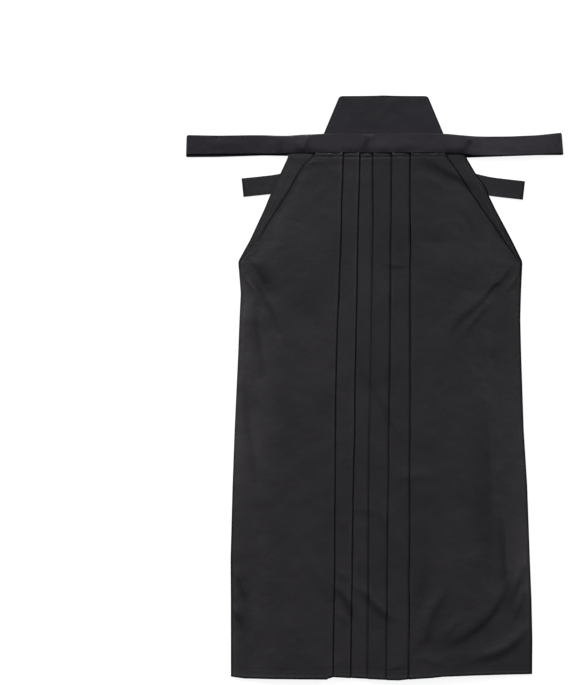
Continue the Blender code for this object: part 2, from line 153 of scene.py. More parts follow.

# %% [markdown]
# ## The cloth's finish
# The trousers are a plain weave in charcoal black: each thread passes over one thread and under
# the next. An image could show that, but a procedural pattern has no pixels to run out of. Two
# wave textures draw the threads of the two directions, and a checker decides which one lies on
# top. The pattern follows the cloth through its UV map, which holds real metres. Broad noise
# shifts the black a little between purple and brown, as dyed cloth does. Each mesh also carries a
# value called Shade, which is painted shade: it is high in the crook of a fold and at a rolled
# edge, where hardly any light gets in on real cloth, and takes colour and shine away there. Below
# zero it is a painted highlight, a sheen that lightens the cloth beside the side edges.

# %% Node helper
class NodeMaker:
    """Adds nodes to one material and links them by socket name."""

    def __init__(self, material):
        self.tree = material.node_tree
        self.place = self.add("ShaderNodeTexCoord")

    def add(self, kind, **settings):
        node = self.tree.nodes.new(kind)
        for key, value in settings.items():
            setattr(node, key, value)
        return node

    def join(self, source, output, target, name):
        self.tree.links.new(source.outputs[output], target.inputs[name])

    def noise(self, **inputs):
        """Noise over the garment's own space."""
        node = self.add("ShaderNodeTexNoise")
        for key, value in inputs.items():
            node.inputs[key].default_value = value
        self.join(self.place, "Object", node, "Vector")
        return node

    def ramp(self, source, output, low, high, ends=(0.0, 1.0)):
        """Colour that goes from low to high between the two ends of a value."""
        node = self.add("ShaderNodeValToRGB")
        for element, place, colour in zip(node.color_ramp.elements, ends, (low, high)):
            element.position = place
            element.color = (*colour, 1)
        self.join(source, output, node, "Fac")
        return node

    def bump(self, source, output, strength, distance):
        node = self.add("ShaderNodeBump")
        node.inputs["Strength"].default_value = strength
        node.inputs["Distance"].default_value = distance
        self.join(source, output, node, "Height")
        return node


print("node helper ready")

# %% [markdown]
# The weave is a height. Each wave rises and falls once a thread, and the checker picks the wave of
# the thread that lies on top. The height then feeds the bump and, a little, the colour.

# %% Weave
THREAD = 0.0006
WAVE_SCALE = 0.31831 * math.pi / 2


def weave_height(make):
    """Node whose output is the height of a plain weave, 0 to 1, over the UV map in metres."""
    scaled = make.add("ShaderNodeMapping")
    scaled.inputs["Scale"].default_value = (1 / THREAD, 1 / THREAD, 1.0)
    make.join(make.place, "UV", scaled, "Vector")
    waves = []
    for direction in ("X", "Y"):
        wave = make.add("ShaderNodeTexWave", bands_direction=direction)
        wave.inputs["Scale"].default_value = WAVE_SCALE
        wave.inputs["Distortion"].default_value = 0.0
        make.join(scaled, "Vector", wave, "Vector")
        waves.append(wave)
    checker = make.add("ShaderNodeTexChecker")
    checker.inputs["Scale"].default_value = 1.0
    make.join(scaled, "Vector", checker, "Vector")
    over = make.add("ShaderNodeMix", data_type="FLOAT")
    make.join(checker, "Fac", over, "Factor")
    make.join(waves[0], "Fac", over, "A")
    make.join(waves[1], "Fac", over, "B")
    return over


print(f"threads: {THREAD * 1000:.1f} mm apart")

# %% [markdown]
# The cloth is nearly black, so its shine adds much to the tone. Colour and shine both fade where
# the Shade value is high. The roughness varies a little with the same noise as the colour. The
# shine comes from a node here, which Blender renders, but an export may leave such a link out.

# %% Cloth material
WEAVE_DEPTH = 0.00005
RUMPLE_DEPTH = 0.0024
SHINE = 0.36
SHADE_DEPTH = 0.92
ROUGH = 0.45
ROUGH_DOWN = 0.03
ROUGH_UP = 0.05
SHEEN = 0.03
SHEEN_ROUGH = 0.45
SHEEN_TINT = (0.55, 0.53, 0.6, 1)
TONE_NOISE = dict(Scale=9.0, Detail=5.0, Roughness=0.62)
TONE_ENDS = (0.32, 0.98)
WEAVE_IN_TONE = 0.35
RUMPLE_NOISE = dict(Scale=34.0, Detail=4.0)
RUMPLE_STRENGTH = 0.5
WEAVE_STRENGTH = 0.6


def cloth_material(name, dark, light):
    material, shader = new_material(name)
    make = NodeMaker(material)
    tone = make.noise(**TONE_NOISE)
    height = weave_height(make)
    shade = make.add("ShaderNodeMath", operation="MULTIPLY_ADD")
    shade.inputs[1].default_value = WEAVE_IN_TONE
    make.join(height, "Result", shade, 0)
    make.join(tone, "Fac", shade, 2)
    ramp = make.ramp(shade, "Value", dark, light, TONE_ENDS)
    shaded = make.add("ShaderNodeAttribute", attribute_name="Shade")
    kept = make.add("ShaderNodeMath", operation="MULTIPLY_ADD")
    kept.inputs[1].default_value = -SHADE_DEPTH
    kept.inputs[2].default_value = 1.0
    make.join(shaded, "Fac", kept, 0)
    colour = make.add("ShaderNodeVectorMath", operation="SCALE")
    make.join(ramp, "Color", colour, "Vector")
    make.join(kept, "Value", colour, "Scale")
    make.join(colour, "Vector", shader, "Base Color")
    shine = make.add("ShaderNodeMath", operation="MULTIPLY")
    shine.inputs[1].default_value = SHINE
    make.join(kept, "Value", shine, 0)
    make.join(shine, "Value", shader, "Specular IOR Level")

    gloss = make.add("ShaderNodeMapRange")
    gloss.inputs["To Min"].default_value = ROUGH - ROUGH_DOWN
    gloss.inputs["To Max"].default_value = ROUGH + ROUGH_UP
    make.join(tone, "Fac", gloss, "Value")
    make.join(gloss, "Result", shader, "Roughness")

    rumple = make.noise(**RUMPLE_NOISE)
    soft_bump = make.bump(rumple, "Fac", RUMPLE_STRENGTH, RUMPLE_DEPTH)
    weave_bump = make.bump(height, "Result", WEAVE_STRENGTH, WEAVE_DEPTH)
    make.join(soft_bump, "Normal", weave_bump, "Normal")
    make.join(weave_bump, "Normal", shader, "Normal")

    shader.inputs["Sheen Weight"].default_value = SHEEN
    shader.inputs["Sheen Roughness"].default_value = SHEEN_ROUGH
    shader.inputs["Sheen Tint"].default_value = SHEEN_TINT
    print("material", name)
    return material


panel_cloth = cloth_material("Charcoal cloth", (0.0106, 0.0094, 0.0114), (0.0180, 0.0162, 0.0194))
band_cloth = cloth_material("Band cloth", (0.0142, 0.0118, 0.0168), (0.0236, 0.0198, 0.0272))
board_cloth = cloth_material("Board cloth", (0.0092, 0.0080, 0.0112), (0.0160, 0.0142, 0.0192))
tie_cloth = cloth_material("Back tie cloth", (0.0102, 0.0094, 0.0114), (0.0176, 0.0164, 0.0196))

# %% [markdown]
# ## How a piece of cloth is built
# Cloth that hangs could be simulated, but pressed pleats are folded by hand along straight lines.
# So each panel is worked out the way it is ironed: a line runs across the cloth, turns back at
# each pleat's edge, and turns again at the hidden fold. Many such lines between hem and waist
# make a grid. The tables below hold the garment's own sizes in millimetres, read between rows.

# %% Sizes of the garment
MM = 0.001
PITCH = 1.3
FOLD_R = PITCH / 2
FOLD_REACH = FOLD_R + 0.5
THICK = 0.6
SEAM = 0.25
HEM = -505
SEAM_TOP = 220
FRONT_TOP = 425


def table(columns, rows):
    """Rows as dictionaries, so that a column can be asked for by its name."""
    names = columns.split()
    return [dict(zip(names, row)) for row in rows]


OUTLINE_ROWS = table("along right left", [
    (-505, -250.8, 274.6), (-441, -250.9, 275.1), (-371, -251.0, 273.6), (-300, -251.4, 270.7),
    (-170, -247.9, 266.0), (-75, -244.4, 260.0), (60, -238.1, 255.4), (120, -235.8, 254.0),
    (165, -233.6, 255.2), (220, -238.1, 257.7), (257, -217.6, 239.4), (311, -192.4, 210.6),
    (335, -182.6, 198.8), (354, -174.0, 192.0), (371, -165.6, 177.4), (401, -151.6, 159.6),
    (425, -147.0, 154.5),
])
SIDE_PLEAT_ROWS = table("along right left", [
    (220, -232.0, 253.0), (257, -203.0, 225.5), (286, -188.0, 206.5), (311, -171.0, 188.5),
    (344, -150.1, 165.8), (378, -132.0, 144.0), (393, -120.0, 133.0), (405, -106.0, 124.0),
    (425, -104.0, 122.0),
])
PLEAT_ROWS = table("along one two three four five", [
    (-505, -73.6, -43.2, -11.6, 20.3, 59.6), (-266, -71.0, -40.3, -10.6, 23.3, 61.0),
    (-22, -69.3, -35.4, -7.6, 25.6, 61.7), (88, -66.5, -34.0, -5.5, 27.5, 62.4),
    (270, -59.8, -30.3, -2.6, 28.9, 61.9), (425, -56.0, -26.8, -2.7, 29.8, 61.7),
])
HEM_ROWS = table("across hem", [
    (-250, -504.4), (-226, -507.4), (-83, -508.6), (-79, -504.4), (-12, -508.0), (20, -509.5),
    (42, -510.0), (60, -508.0), (98, -505.6), (119, -503.4), (170, -501.6), (275, -499.9),
])

# %% [markdown]
# The next table is the height of the cloth above the floor. The pleats lie on each other like
# stairs: the lowest strip is in the middle, and every turn of the cloth climbs one step.

# %% Heights of the front
FRONT_ROWS = table("along core edge right_in left_in tuck deep", [
    (-505, 4.4, 1.8, 1.8, 1.8, 1, 42), (220, 4.4, 1.8, 1.8, 1.8, 1, 42),
    (245, 4.4, 1.9, 2.4, 2.6, 4, 41), (305, 4.4, 3.0, 4.2, 5.0, 9, 38),
    (330, 4.4, 4.0, 5.2, 6.2, 11, 36), (390, 4.6, 4.4, 7.0, 9.4, 12, 32),
    (400, 5.1, 5.1, 7.7, 10.3, 12, 30), (425, 5.1, 5.1, 7.7, 10.3, 12, 30),
])
OPENING_ROWS = table("below turn arc reach run", [
    (0, 180, math.pi * FOLD_R, 1.0, 5.7), (8, 120, 1.4, 1.2, 4.5), (17, 60, 1.3, 1.5, 3.0),
    (30, 25, 3.0, 2.0, 3.0), (52, 7, 8.0, 8.0, 3.0), (120, 0, 8.0, 8.0, 3.0),
])


def read(rows, column, at, key="along"):
    """Value of one column at a place between the rows."""
    return float(np.interp(at, [row[key] for row in rows], [row[column] for row in rows]))


def read_soft(rows, column, at, key="along", spread=6.0):
    """The same, with each corner of the line rounded over a few millimetres."""
    places = [at - spread, at, at + spread]
    values = np.interp(places, [row[key] for row in rows], [row[column] for row in rows])
    return float(values @ (0.25, 0.5, 0.25))


def read_along(rows, column, places, key="along", spread=6.0):
    """The rounded values at many places."""
    return np.array([read_soft(rows, column, place, key, spread) for place in places])


def side_name(side):
    return "right" if side < 0 else "left"


print("outline rows:", len(OUTLINE_ROWS), "pleat rows:", len(PLEAT_ROWS))

# %% [markdown]
# ## From a grid of points to cloth
# A sheet needs two sides and a rim to be a solid thing. Blender's Solidify modifier can do that,
# but at a pleat's tight turn a hand-made offset is more even. Each point moves half the cloth's
# thickness along the surface normal, once up and once down. Extra rows at the border pull the
# two sides together, so the rim is round like a folded edge and not a sharp cut.

# %% Rim of a grid
RIM_TURN = 84
THINNEST = 0.02


def unit(vectors):
    length = np.linalg.norm(vectors, axis=-1, keepdims=True)
    return vectors / np.maximum(length, 1e-9)


def round_border(grid, half, radius, rings):
    """Grid with extra border rows, and the half thickness at every point of it."""
    thick = np.full(grid.shape[:2], half)
    angles = [math.radians(RIM_TURN) * (ring + 1) / rings for ring in range(rings)]
    for axis in (0, 1):
        first = unit(np.take(grid, 0, axis) - np.take(grid, 1, axis))
        last = unit(np.take(grid, -1, axis) - np.take(grid, -2, axis))
        start = np.take(grid, 0, axis)
        end = np.take(grid, -1, axis)
        low = np.take(thick, 0, axis)
        high = np.take(thick, -1, axis)
        for angle in angles:
            out = radius * math.sin(angle)
            drop = radius * (1 - math.cos(angle))
            before = np.expand_dims(start + first * out, axis)
            after = np.expand_dims(end + last * out, axis)
            grid = np.concatenate([before, grid, after], axis)
            thin_low = np.expand_dims(np.maximum(low - drop, THINNEST), axis)
            thin_high = np.expand_dims(np.maximum(high - drop, THINNEST), axis)
            thick = np.concatenate([thin_low, thick, thin_high], axis)
    return grid, thick


def grid_normals(grid):
    down = np.gradient(grid, axis=0)
    along = np.gradient(grid, axis=1)
    return unit(np.cross(along, down))


print("rim turns", RIM_TURN, "degrees")

# %% [markdown]
# Each cloth is a mesh of its own. The points of the upper face come first and those of the lower
# face after them, so the two faces share one list of quads, and a band of quads closes the rim. The
# flat map holds the place of every point on the cloth before it was folded, in metres.

# %% Shell from a grid
SHADE_RANGE = (-0.7, 1)


def add_piece(name, mesh, material, slot):
    """Smooth object of one mesh, riding on the garment's only body."""
    mesh.shade_smooth()
    mesh.materials.append(material)
    piece = bpy.data.objects.new(name, mesh)
    scene.collection.objects.link(piece)
    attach(piece, "root")
    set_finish(piece, slot)
    return piece


def shell_faces(rows, columns):
    """Quads of the upper face, the lower face and the rim of a grid."""
    index = np.arange(rows * columns).reshape(rows, columns)
    quads = np.stack([index[:-1, :-1], index[:-1, 1:], index[1:, 1:], index[1:, :-1]], -1)
    quads = quads.reshape(-1, 4)
    border = np.concatenate([index[0, :-1], index[:-1, -1], index[-1, :0:-1], index[:0:-1, 0]])
    following = np.roll(border, -1)
    below = rows * columns
    rim = np.stack([border, border + below, following + below, following], -1)
    return np.concatenate([quads, quads[:, ::-1] + below, rim])


def add_flat_map(mesh, grid):
    """Gives the mesh the place of each point on the flat cloth, and returns the longest line."""
    steps = np.linalg.norm(np.diff(grid, axis=1), axis=2)
    across = np.concatenate([np.zeros((len(grid), 1)), np.cumsum(steps, axis=1)], axis=1)
    rises = np.linalg.norm(np.diff(grid, axis=0), axis=2).mean(axis=1)
    up = np.concatenate([[0.0], np.cumsum(rises)])[:, None] + np.zeros((1, grid.shape[1]))
    flat_map = np.stack([across, up], -1).reshape(-1, 2) * MM
    flat_map = np.concatenate([flat_map, flat_map])
    layer = mesh.uv_layers.new(name="Cloth")
    corners = np.empty(len(mesh.loops), dtype=np.int32)
    mesh.loops.foreach_get("vertex_index", corners)
    layer.uv.foreach_set("vector", flat_map[corners].astype(np.float32).ravel())
    return across[:, -1].max()


def grid_area(grid):
    """Area of the cloth in square metres."""
    right = grid[:-1, 1:] - grid[:-1, :-1]
    up = grid[1:, :-1] - grid[:-1, :-1]
    return float(np.sum(np.linalg.norm(np.cross(right, up), axis=2))) * MM * MM


def make_shell(name, grid, material, slot, thick=THICK, radius=None, rings=2, shade=None):
    """Closed cloth shell round a grid of middle points, rows by columns, in millimetres."""
    half = thick / 2
    shade = np.zeros(grid.shape[:2]) if shade is None else shade
    shade = np.pad(np.clip(shade, *SHADE_RANGE), rings, mode="edge")
    grid, halves = round_border(grid, half, radius or half, rings)
    normals = grid_normals(grid)
    upper = grid + normals * halves[..., None]
    lower = grid - normals * halves[..., None]
    points = np.concatenate([upper.reshape(-1, 3), lower.reshape(-1, 3)]) * MM
    mesh = bpy.data.meshes.new(name)
    mesh.from_pydata(points.tolist(), [], shell_faces(*grid.shape[:2]).tolist())
    widest = add_flat_map(mesh, grid)
    value = mesh.attributes.new("Shade", "FLOAT", "POINT")
    value.data.foreach_set("value", np.concatenate([shade, shade]).astype(np.float32).ravel())
    mesh.validate()
    piece = add_piece(name, mesh, material, slot)
    print(f"{name}: {len(mesh.vertices)} points, {grid_area(grid):.3f} square metres of cloth, "
          f"widest line {widest:.0f} mm")
    return piece


# %% [markdown]
# ## Creases
# Pressed cloth still keeps soft folds where it was packed or where the seams pull. Each one is a
# short route on the garment with a height and two widths. A ridge that falls away quickly on one
# side and slowly on the other looks like bent cloth, while an even one looks like a pipe under a
# blanket. A negative height makes a trough. A sharp crease also has painted shade on its steep
# side, where its own foot hides from the light.

# %% Crease helpers
LATTICE = 96
FADE_POWER = 0.7
CREASE_POWER = 1.6


def crease_table(rows):
    """Creases from rows of height, left width, right width, painted shade, and the route's x, y pairs.
    """
    return [dict(height=height, left=left, right=right, painted_shade=painted_shade,
                 route=np.array(route, dtype=float).reshape(-1, 2))
            for height, left, right, painted_shade, *route in rows]


def crease_parts(x, y, crease):
    """Distance from a crease over its width on that side, its fade, and the side, at x, y."""
    route = crease["route"]
    spans = np.diff(route, axis=0)
    lengths = np.linalg.norm(spans, axis=1)
    total = lengths.sum()
    best = np.full(x.shape, 1e9)
    side = np.zeros(x.shape)
    share = np.zeros(x.shape)
    gone = 0.0
    for start, span, length in zip(route[:-1], spans, lengths):
        dx = x - start[0]
        dy = y - start[1]
        t = np.clip((dx * span[0] + dy * span[1]) / length ** 2, 0, 1)
        away = np.hypot(dx - t * span[0], dy - t * span[1])
        nearer = away < best
        best = np.where(nearer, away, best)
        side = np.where(nearer, np.sign(dx * span[1] - dy * span[0]), side)
        share = np.where(nearer, (gone + t * length) / total, share)
        gone += length
    width = np.where(side > 0, crease["right"], crease["left"])
    fade = np.sin(np.pi * np.clip(share, 0.02, 0.98)) ** FADE_POWER
    return best / width, fade, side


def crease_height(x, y, crease):
    """Height that one crease adds at the points x, y, all in millimetres."""
    away, fade, _ = crease_parts(x, y, crease)
    return crease["height"] * fade * np.exp(-(away ** CREASE_POWER))


def crease_shade(x, y, crease):
    """Painted shade on the steep side of a sharp crease, which hides its own foot from the light."""
    away, fade, side = crease_parts(x, y, crease)
    steep = side > 0 if crease["right"] < crease["left"] else side <= 0
    spread = np.where(steep, 1.0, 0.35 * max(crease["left"], crease["right"])
                      / min(crease["left"], crease["right"]))
    return crease["painted_shade"] * fade * np.exp(-((away * spread) ** 2))


def add_creases(height, x, y, creases, share=1.0):
    """Adds the height of every crease to an array of heights."""
    for crease in creases:
        height += crease_height(x, y, crease) * share


def add_painted_shade(shade, x, y, creases, share=1.0):
    """Adds the painted shade of every crease that has any to an array of shades."""
    for crease in creases:
        if crease["painted_shade"]:
            shade += crease_shade(x, y, crease) * share


def lattice_noise(x, y, size, seed):
    """Soft seeded noise, about -1 to 1, with bumps of the given size in millimetres."""
    grid = np.random.default_rng(seed).uniform(-1, 1, (LATTICE, LATTICE))
    u = x / size + 40.0
    v = y / size + 40.0
    iu = np.floor(u).astype(int)
    iv = np.floor(v).astype(int)
    fu = u - iu
    fv = v - iv
    fu = fu * fu * (3 - 2 * fu)
    fv = fv * fv * (3 - 2 * fv)
    left = iu % LATTICE
    right = (iu + 1) % LATTICE
    near = iv % LATTICE
    far = (iv + 1) % LATTICE
    low = grid[left, near] * (1 - fu) + grid[right, near] * fu
    high = grid[left, far] * (1 - fu) + grid[right, far] * fu
    return low * (1 - fv) + high * fv


# %% [markdown]
# The creases of this garment, in millimetres from the middle of the garment. The widest ones run
# from the corners where the side seams begin, and across the lower left leg.

# %% Crease table
FRONT_CREASES = crease_table([
    # Wearer's right leg
    (1.4, 12, 4, 0.35, -217, 226, -206, 212, -196, 194, -190, 178),
    (-2.2, 5, 15, 0.2, -212, 184, -202, 166, -192, 147, -179, 127, -165, 82),
    (-1.0, 4, 9, 0.32, -206, 130, -203, 85, -196, 45, -188, 5),
    (-0.7, 3.5, 8, 0.28, -226, 40, -223, -40, -220, -80, -212, -120, -207, -160, -206, -190),
    (1.3, 34, 26, 0, -164, 48, -158, -109, -153, -336),
    (1.0, 7, 3, 0, -127, 391, -103, 393, -80, 392),
    (2.9, 9, 4, 0.45, -249, -314, -242, -330, -235, -349, -225, -372),
    (2.5, 7, 4, 0.45, -249, -381, -240, -400, -230, -415),
    (1.2, 6, 5, 0, -251, -430, -243, -462, -240, -496),
    (1.2, 14, 9, 0, -196, -262, -186, -318, -182, -372),
    (1.1, 14, 7, 0, -150, -306, -138, -338, -134, -372),
    (1.3, 14, 7, 0, -225, -378, -207, -410, -197, -451),
    (0.4, 22, 16, 0, -197, 296, -148, 247, -109, 181),
    (1.6, 16, 8, 0, -123, -294, -92, -336, -76, -375),
    # Wearer's left leg
    (-1.9, 5, 13, 0.38, 78, 402, 94, 390, 109, 380, 133, 367, 152, 358, 178, 346),
    (1.0, 8, 5, 0, 83, 371, 105, 356, 121, 350),
    (0.45, 14, 8, 0.14, 150, 318, 166, 296, 176, 270),
    (-0.8, 12, 9, 0.08, 76, 259, 104, 250, 134, 257),
    (2.6, 4, 20, 0, 242, 222, 231, 205, 217, 185, 205, 179, 195, 165, 187, 154, 167, 137, 153, 126, 123,
     95),
    (1.7, 3.5, 8, 0, 213, 146, 191, 141, 185, 132, 179, 124, 168, 110, 151, 88),
    (0.5, 5, 3, 0, 223, 178, 240, 178, 259, 179),
    (1.5, 10, 34, 0.17, 190, 0, 194, -40, 199, -100, 200, -162, 201, -266, 196, -361),
    (1.2, 4, 12, 0.3, 223, -215, 225, -262, 227, -300, 231, -335, 236, -365),
    (4.8, 6.5, 26, 0.12, 231, -332, 221, -360, 210, -379, 200, -394, 186, -408, 169, -422, 145, -437,
     114, -442),
    (2.0, 20, 26, 0, 172, -268, 170, -330, 160, -390),
    (4.2, 7, 13, 0.15, 270, -415, 251, -438, 229, -455, 213, -463, 187, -470, 163, -474),
    (2.4, 3.5, 10, 0.2, 271, -293, 262, -312, 254, -332, 245, -349, 238, -370),
    (2.0, 3.5, 7, 0.18, 269, -342, 261, -365, 254, -382, 243, -402),
    (3.2, 6, 16, 0.14, 125, -353, 115, -367, 105, -382, 98, -402, 91, -431, 74, -448),
    (1.1, 3.5, 8, 0, 148, -403, 134, -419, 116, -434),
    (1.2, 7, 3, 0, 75, -469, 92, -475, 104, -480, 118, -483),
    (1.3, 30, 28, 0, 109, 247, 153, 65, 160, -92),
    (-1.3, 16, 9, 0.12, 66, -262, 82, -300, 84, -340, 74, -392, 66, -430),
    # Strips between the pleats
    (1.2, 9, 3.5, 0.2, -39, 31, -17, 22, 4, -14, 27, -63, 51, -97),
    (0.7, 8, 4, 0.15, -36, 83, -29, 48, -22, 17),
    (0.7, 8, 3.5, 0.18, 12, 216, 36, 211, 61, 213),
    (0.6, 6, 3, 0.15, 35, 264, 42, 249, 40, 235),
    (3.0, 10, 4, 0.4, -40, -344, -27, -356, -13, -367, 0, -383, 18, -397, 37, -407),
    (0.9, 7, 4, 0.15, -30, -296, -27, -320, -22, -345),
    (2.9, 8, 3.8, 0.45, -74, -344, -62, -357, -50, -373, -39, -400),
    (1.8, 5, 3, 0, -66, -319, -47, -336),
    (1.8, 5, 3, 0, -66, -391, -47, -412),
    (1.0, 8, 4, 0, -36, -250, -24, -290, -12, -330),
    (0.9, 9, 3, 0.2, -38, -218, -1, -222),
    (0.9, 7, 3.5, 0.2, -3, -209, 9, -230, 23, -248),
    (0.45, 9, 3, 0.15, 23, -159, 93, -157),
    (1.0, 7, 3, 0, 19, -489, 39, -484, 60, -481),
    (0.7, 9, 4, 0, 30, -248, 46, -280, 50, -312),
    (0.7, 8, 4, 0, -31, -440, -20, -461, -13, -482),
])
TUCK_LINE = 402.2
TUCK_GROOVE = 0.42
BAND_EDGE = 409.5
UNEVEN = table("amount stretch size seed", [(0.6, 0.8, 95, 3), (0.4, 1, 41, 4), (0.14, 1, 15, 5)])


def soft_floor(relief, room):
    """Relief whose troughs never go deeper than the room below the cloth."""
    room = np.maximum(room, 0.02)
    return np.where(relief < 0, room * np.tanh(relief / room), relief)


def front_relief(x, y):
    """All the creases of the fronts, and the small unevenness of pressed cloth."""
    height = np.zeros(x.shape)
    add_creases(height, x, y, FRONT_CREASES)
    for noise in UNEVEN:
        bumps = lattice_noise(x, y * noise["stretch"], noise["size"], noise["seed"])
        height += noise["amount"] * bumps
    return height


def waist_relief(x, y):
    """The stitched line below the band, and the puckers between it and the band."""
    line = TUCK_LINE + 0.6 * lattice_noise(x, x * 0, 33, 7)
    groove = -TUCK_GROOVE * np.exp(-(((y - line) / 1.7) ** 2))
    between = np.clip((y - line + 1) / 3, 0, 1) * np.clip((BAND_EDGE - y) / 3, 0, 1)
    below = np.clip((y - line + 12) / 9, 0, 1) * np.clip((line - 1 - y) / 2, 0, 1)
    pucker = 0.55 * lattice_noise(x + 0.6 * y, y * 0.5, 5, 8)
    pucker += 0.45 * lattice_noise(x - 0.4 * y, y * 0.4, 11, 9)
    return groove + between * (0.2 + pucker) + below * 0.3 * pucker


print("front creases:", len(FRONT_CREASES))

# %% [markdown]
# ## The side pleat
# At each hip a pleat runs from the waist to the top of the side seam. Above the seam the panel
# folds under twice and its hidden layer shows as a narrow wedge. Below, the two bends open out
# until the cloth is flat, which the tables describe with an angle for each bend.

# %% Line through the side pleat
BEND_STEPS = 8
TURN_STEPS = 8
HIDDEN_STEPS = 2
WEDGE_STEPS = 14


def bend(x, z_from, z_to, side, steps=BEND_STEPS):
    """Half a turn of the cloth at a pleat's edge, bulging towards side."""
    middle = (z_from + z_to) / 2
    radius = (z_from - z_to) / 2
    points = []
    for step in range(steps + 1):
        angle = math.pi * step / steps
        out = side * abs(radius) * math.sin(angle)
        points.append((x + out, middle + radius * math.cos(angle)))
    return points


def open_pleat_line(side, along, outline, edge_z):
    """Side pleat below the seam top, where its bends have begun to open."""
    below = SEAM_TOP - along
    spread = min(8.0, below * 0.3)
    turn = math.radians(read_soft(OPENING_ROWS, "turn", below, "below", spread))
    arc = read_soft(OPENING_ROWS, "arc", below, "below", spread)
    reach = read_soft(OPENING_ROWS, "reach", below, "below", spread)
    run = read(OPENING_ROWS, "run", below, "below")
    heading = 0.0
    x = 0.0
    z = 0.0
    line = [(x, z)]
    for way in (1, -1):
        for step in range(TURN_STEPS):
            heading += way * turn / TURN_STEPS / 2
            x += arc / TURN_STEPS * math.cos(heading)
            z -= arc / TURN_STEPS * math.sin(heading)
            heading += way * turn / TURN_STEPS / 2
            line.append((x, z))
        if way > 0:
            x += reach * math.cos(heading)
            z -= reach * math.sin(heading)
            line.append((x, z))
    for step in range(WEDGE_STEPS):
        x += run / WEDGE_STEPS
        line.append((x, z))
    end_x, end_z = line[-1]
    return [(outline + side * (px - end_x), edge_z + pz - end_z) for px, pz in line]


def side_pleat_line(side, along):
    """Side pleat from the panel outwards as (x, z) points."""
    name = side_name(side)
    outline = read_soft(OUTLINE_ROWS, name, along, spread=4)
    edge_z = read(FRONT_ROWS, "edge", along)
    if along < SEAM_TOP:
        return open_pleat_line(side, along, outline, edge_z)
    inner_z = read_soft(FRONT_ROWS, name + "_in", along)
    tuck = read(FRONT_ROWS, "tuck", along)
    front = read_soft(SIDE_PLEAT_ROWS, name, along, spread=3) - side * FOLD_REACH
    hidden = front - side * tuck
    line = bend(front, inner_z + 2 * PITCH, inner_z + PITCH, side)
    line += bend(hidden, inner_z + PITCH, inner_z, -side)
    showing = WEDGE_STEPS - HIDDEN_STEPS
    start = front + side * (FOLD_REACH - 0.4)
    for step in range(1, WEDGE_STEPS + 1):
        if step <= HIDDEN_STEPS:
            x = hidden + (start - hidden) * step / HIDDEN_STEPS
        else:
            share = (1 - math.cos(math.pi * (step - HIDDEN_STEPS) / showing)) / 2
            x = start + (outline - start) * share
        fall = (x - hidden) / (outline - hidden)
        line.append((x, inner_z + (edge_z - inner_z) * fall))
    return line


print("side pleat points:", len(side_pleat_line(-1, 300)), len(side_pleat_line(-1, 200)))

# %% [markdown]
# ## The two fronts
# Now the whole line: wedge, panel, and then for each pleat a turn under, the hidden depth, a turn
# back and the next strip. Pleat edges are never ruler-straight, so each wanders by a fraction of a
# millimetre, and its fold stands up a little more in one place than in another. Each point also
# carries how much of the creases it takes, how much room there is to sink below it, and its shade.

# %% Pleat edges
PLEAT_SEEDS = dict(one=11, two=12, three=13, four=14, five=15)
EDGE_WANDER = 0.5


def wobble(along, size, seed):
    point = np.array([along])
    return float(lattice_noise(point, point * 0, size, seed)[0])


def pleat_place(name, along):
    """Place of one pleat's edge, with its small wander."""
    seed = PLEAT_SEEDS[name]
    wander = wobble(along, 80, seed) + 0.5 * wobble(along, 27, seed + 10)
    return read_soft(PLEAT_ROWS, name, along, spread=30) + EDGE_WANDER * wander


print("pleat edges:", ", ".join(PLEAT_SEEDS))

# %% [markdown]
# Beside the outline the cloth is lighter, in patches, from a painted sheen. Its very edge turns
# away from the light and gets painted shade. The fold of the side pleat gets painted shade as
# well, but only as far down as it is closed.

# %% Edge of a front
EDGE_RISE = dict(right=2.6, left=1.3)
EDGE_RUN = 16.0
FOLD_DARK = 0.9
WEDGE_DARK = 0.85
PAINTED_SHEEN_SPREAD = 14
LOWEST_FRONT = 1.35
RIM_RUN = 2.8
FRONT_TONE = dict(right=-0.03, left=0.05)
WEDGE_TONE = dict(right=0.0, left=0.2)
# Painted sheen beside each side's outline: how much, and how far in it reaches.
PAINTED_SHEEN_ROWS = table("along right right_run left left_run", [
    (-505, 0.08, 14, -0.12, 30), (-440, 0.12, 14, -0.05, 20), (-405, 0.15, 14, 0.12, 12),
    (-375, 0.1, 20, 0.3, 24), (-340, 0.08, 25, 0.42, 32), (-265, 0.16, 34, 0.38, 36),
    (-190, 0.26, 36, 0.28, 38), (-150, 0.46, 50, 0.34, 45), (-60, 0.48, 50, 0.28, 44),
    (20, 0.44, 46, 0.22, 36), (75, 0.4, 38, 0.2, 34), (130, 0.36, 32, 0.04, 20),
    (200, 0.3, 24, 0.0, 20), (222, 0.0, 24, 0.0, 20),
])
RIM_ROWS = table("along right left", [
    (-505, 1.0, 1.1), (-430, 0.9, 1.1), (-240, 0.8, 1.0), (-60, 0.5, 0.95), (60, 0.45, 0.95),
    (190, 0.35, 1.0), (425, 0.25, 0.6),
])


def fold_shade(side, along):
    """How dark the side pleat's fold is: full at the waist, none where it has opened."""
    if side < 0:
        return min(max((along - 225) / 60, 0.0), 1.0)
    return min(max((along - 212) / 18, 0.0), 1.0)


def painted_edge_sheen(side, grid):
    """Negative shade: a painted sheen, in patches, on the cloth beside the outline."""
    name = side_name(side)
    along = grid[:, 0, 1]
    amount = read_along(PAINTED_SHEEN_ROWS, name, along, spread=PAINTED_SHEEN_SPREAD)[:, None]
    run = read_along(PAINTED_SHEEN_ROWS, name + "_run", along, spread=PAINTED_SHEEN_SPREAD)[:, None]
    inward = np.abs(grid[..., 0] - grid[:, :1, 0])
    patchy = 1 + 0.28 * lattice_noise(grid[..., 0], grid[..., 1] * 0.7, 24, 31)
    return -amount * patchy * np.exp(-((inward / run) ** 2.4))


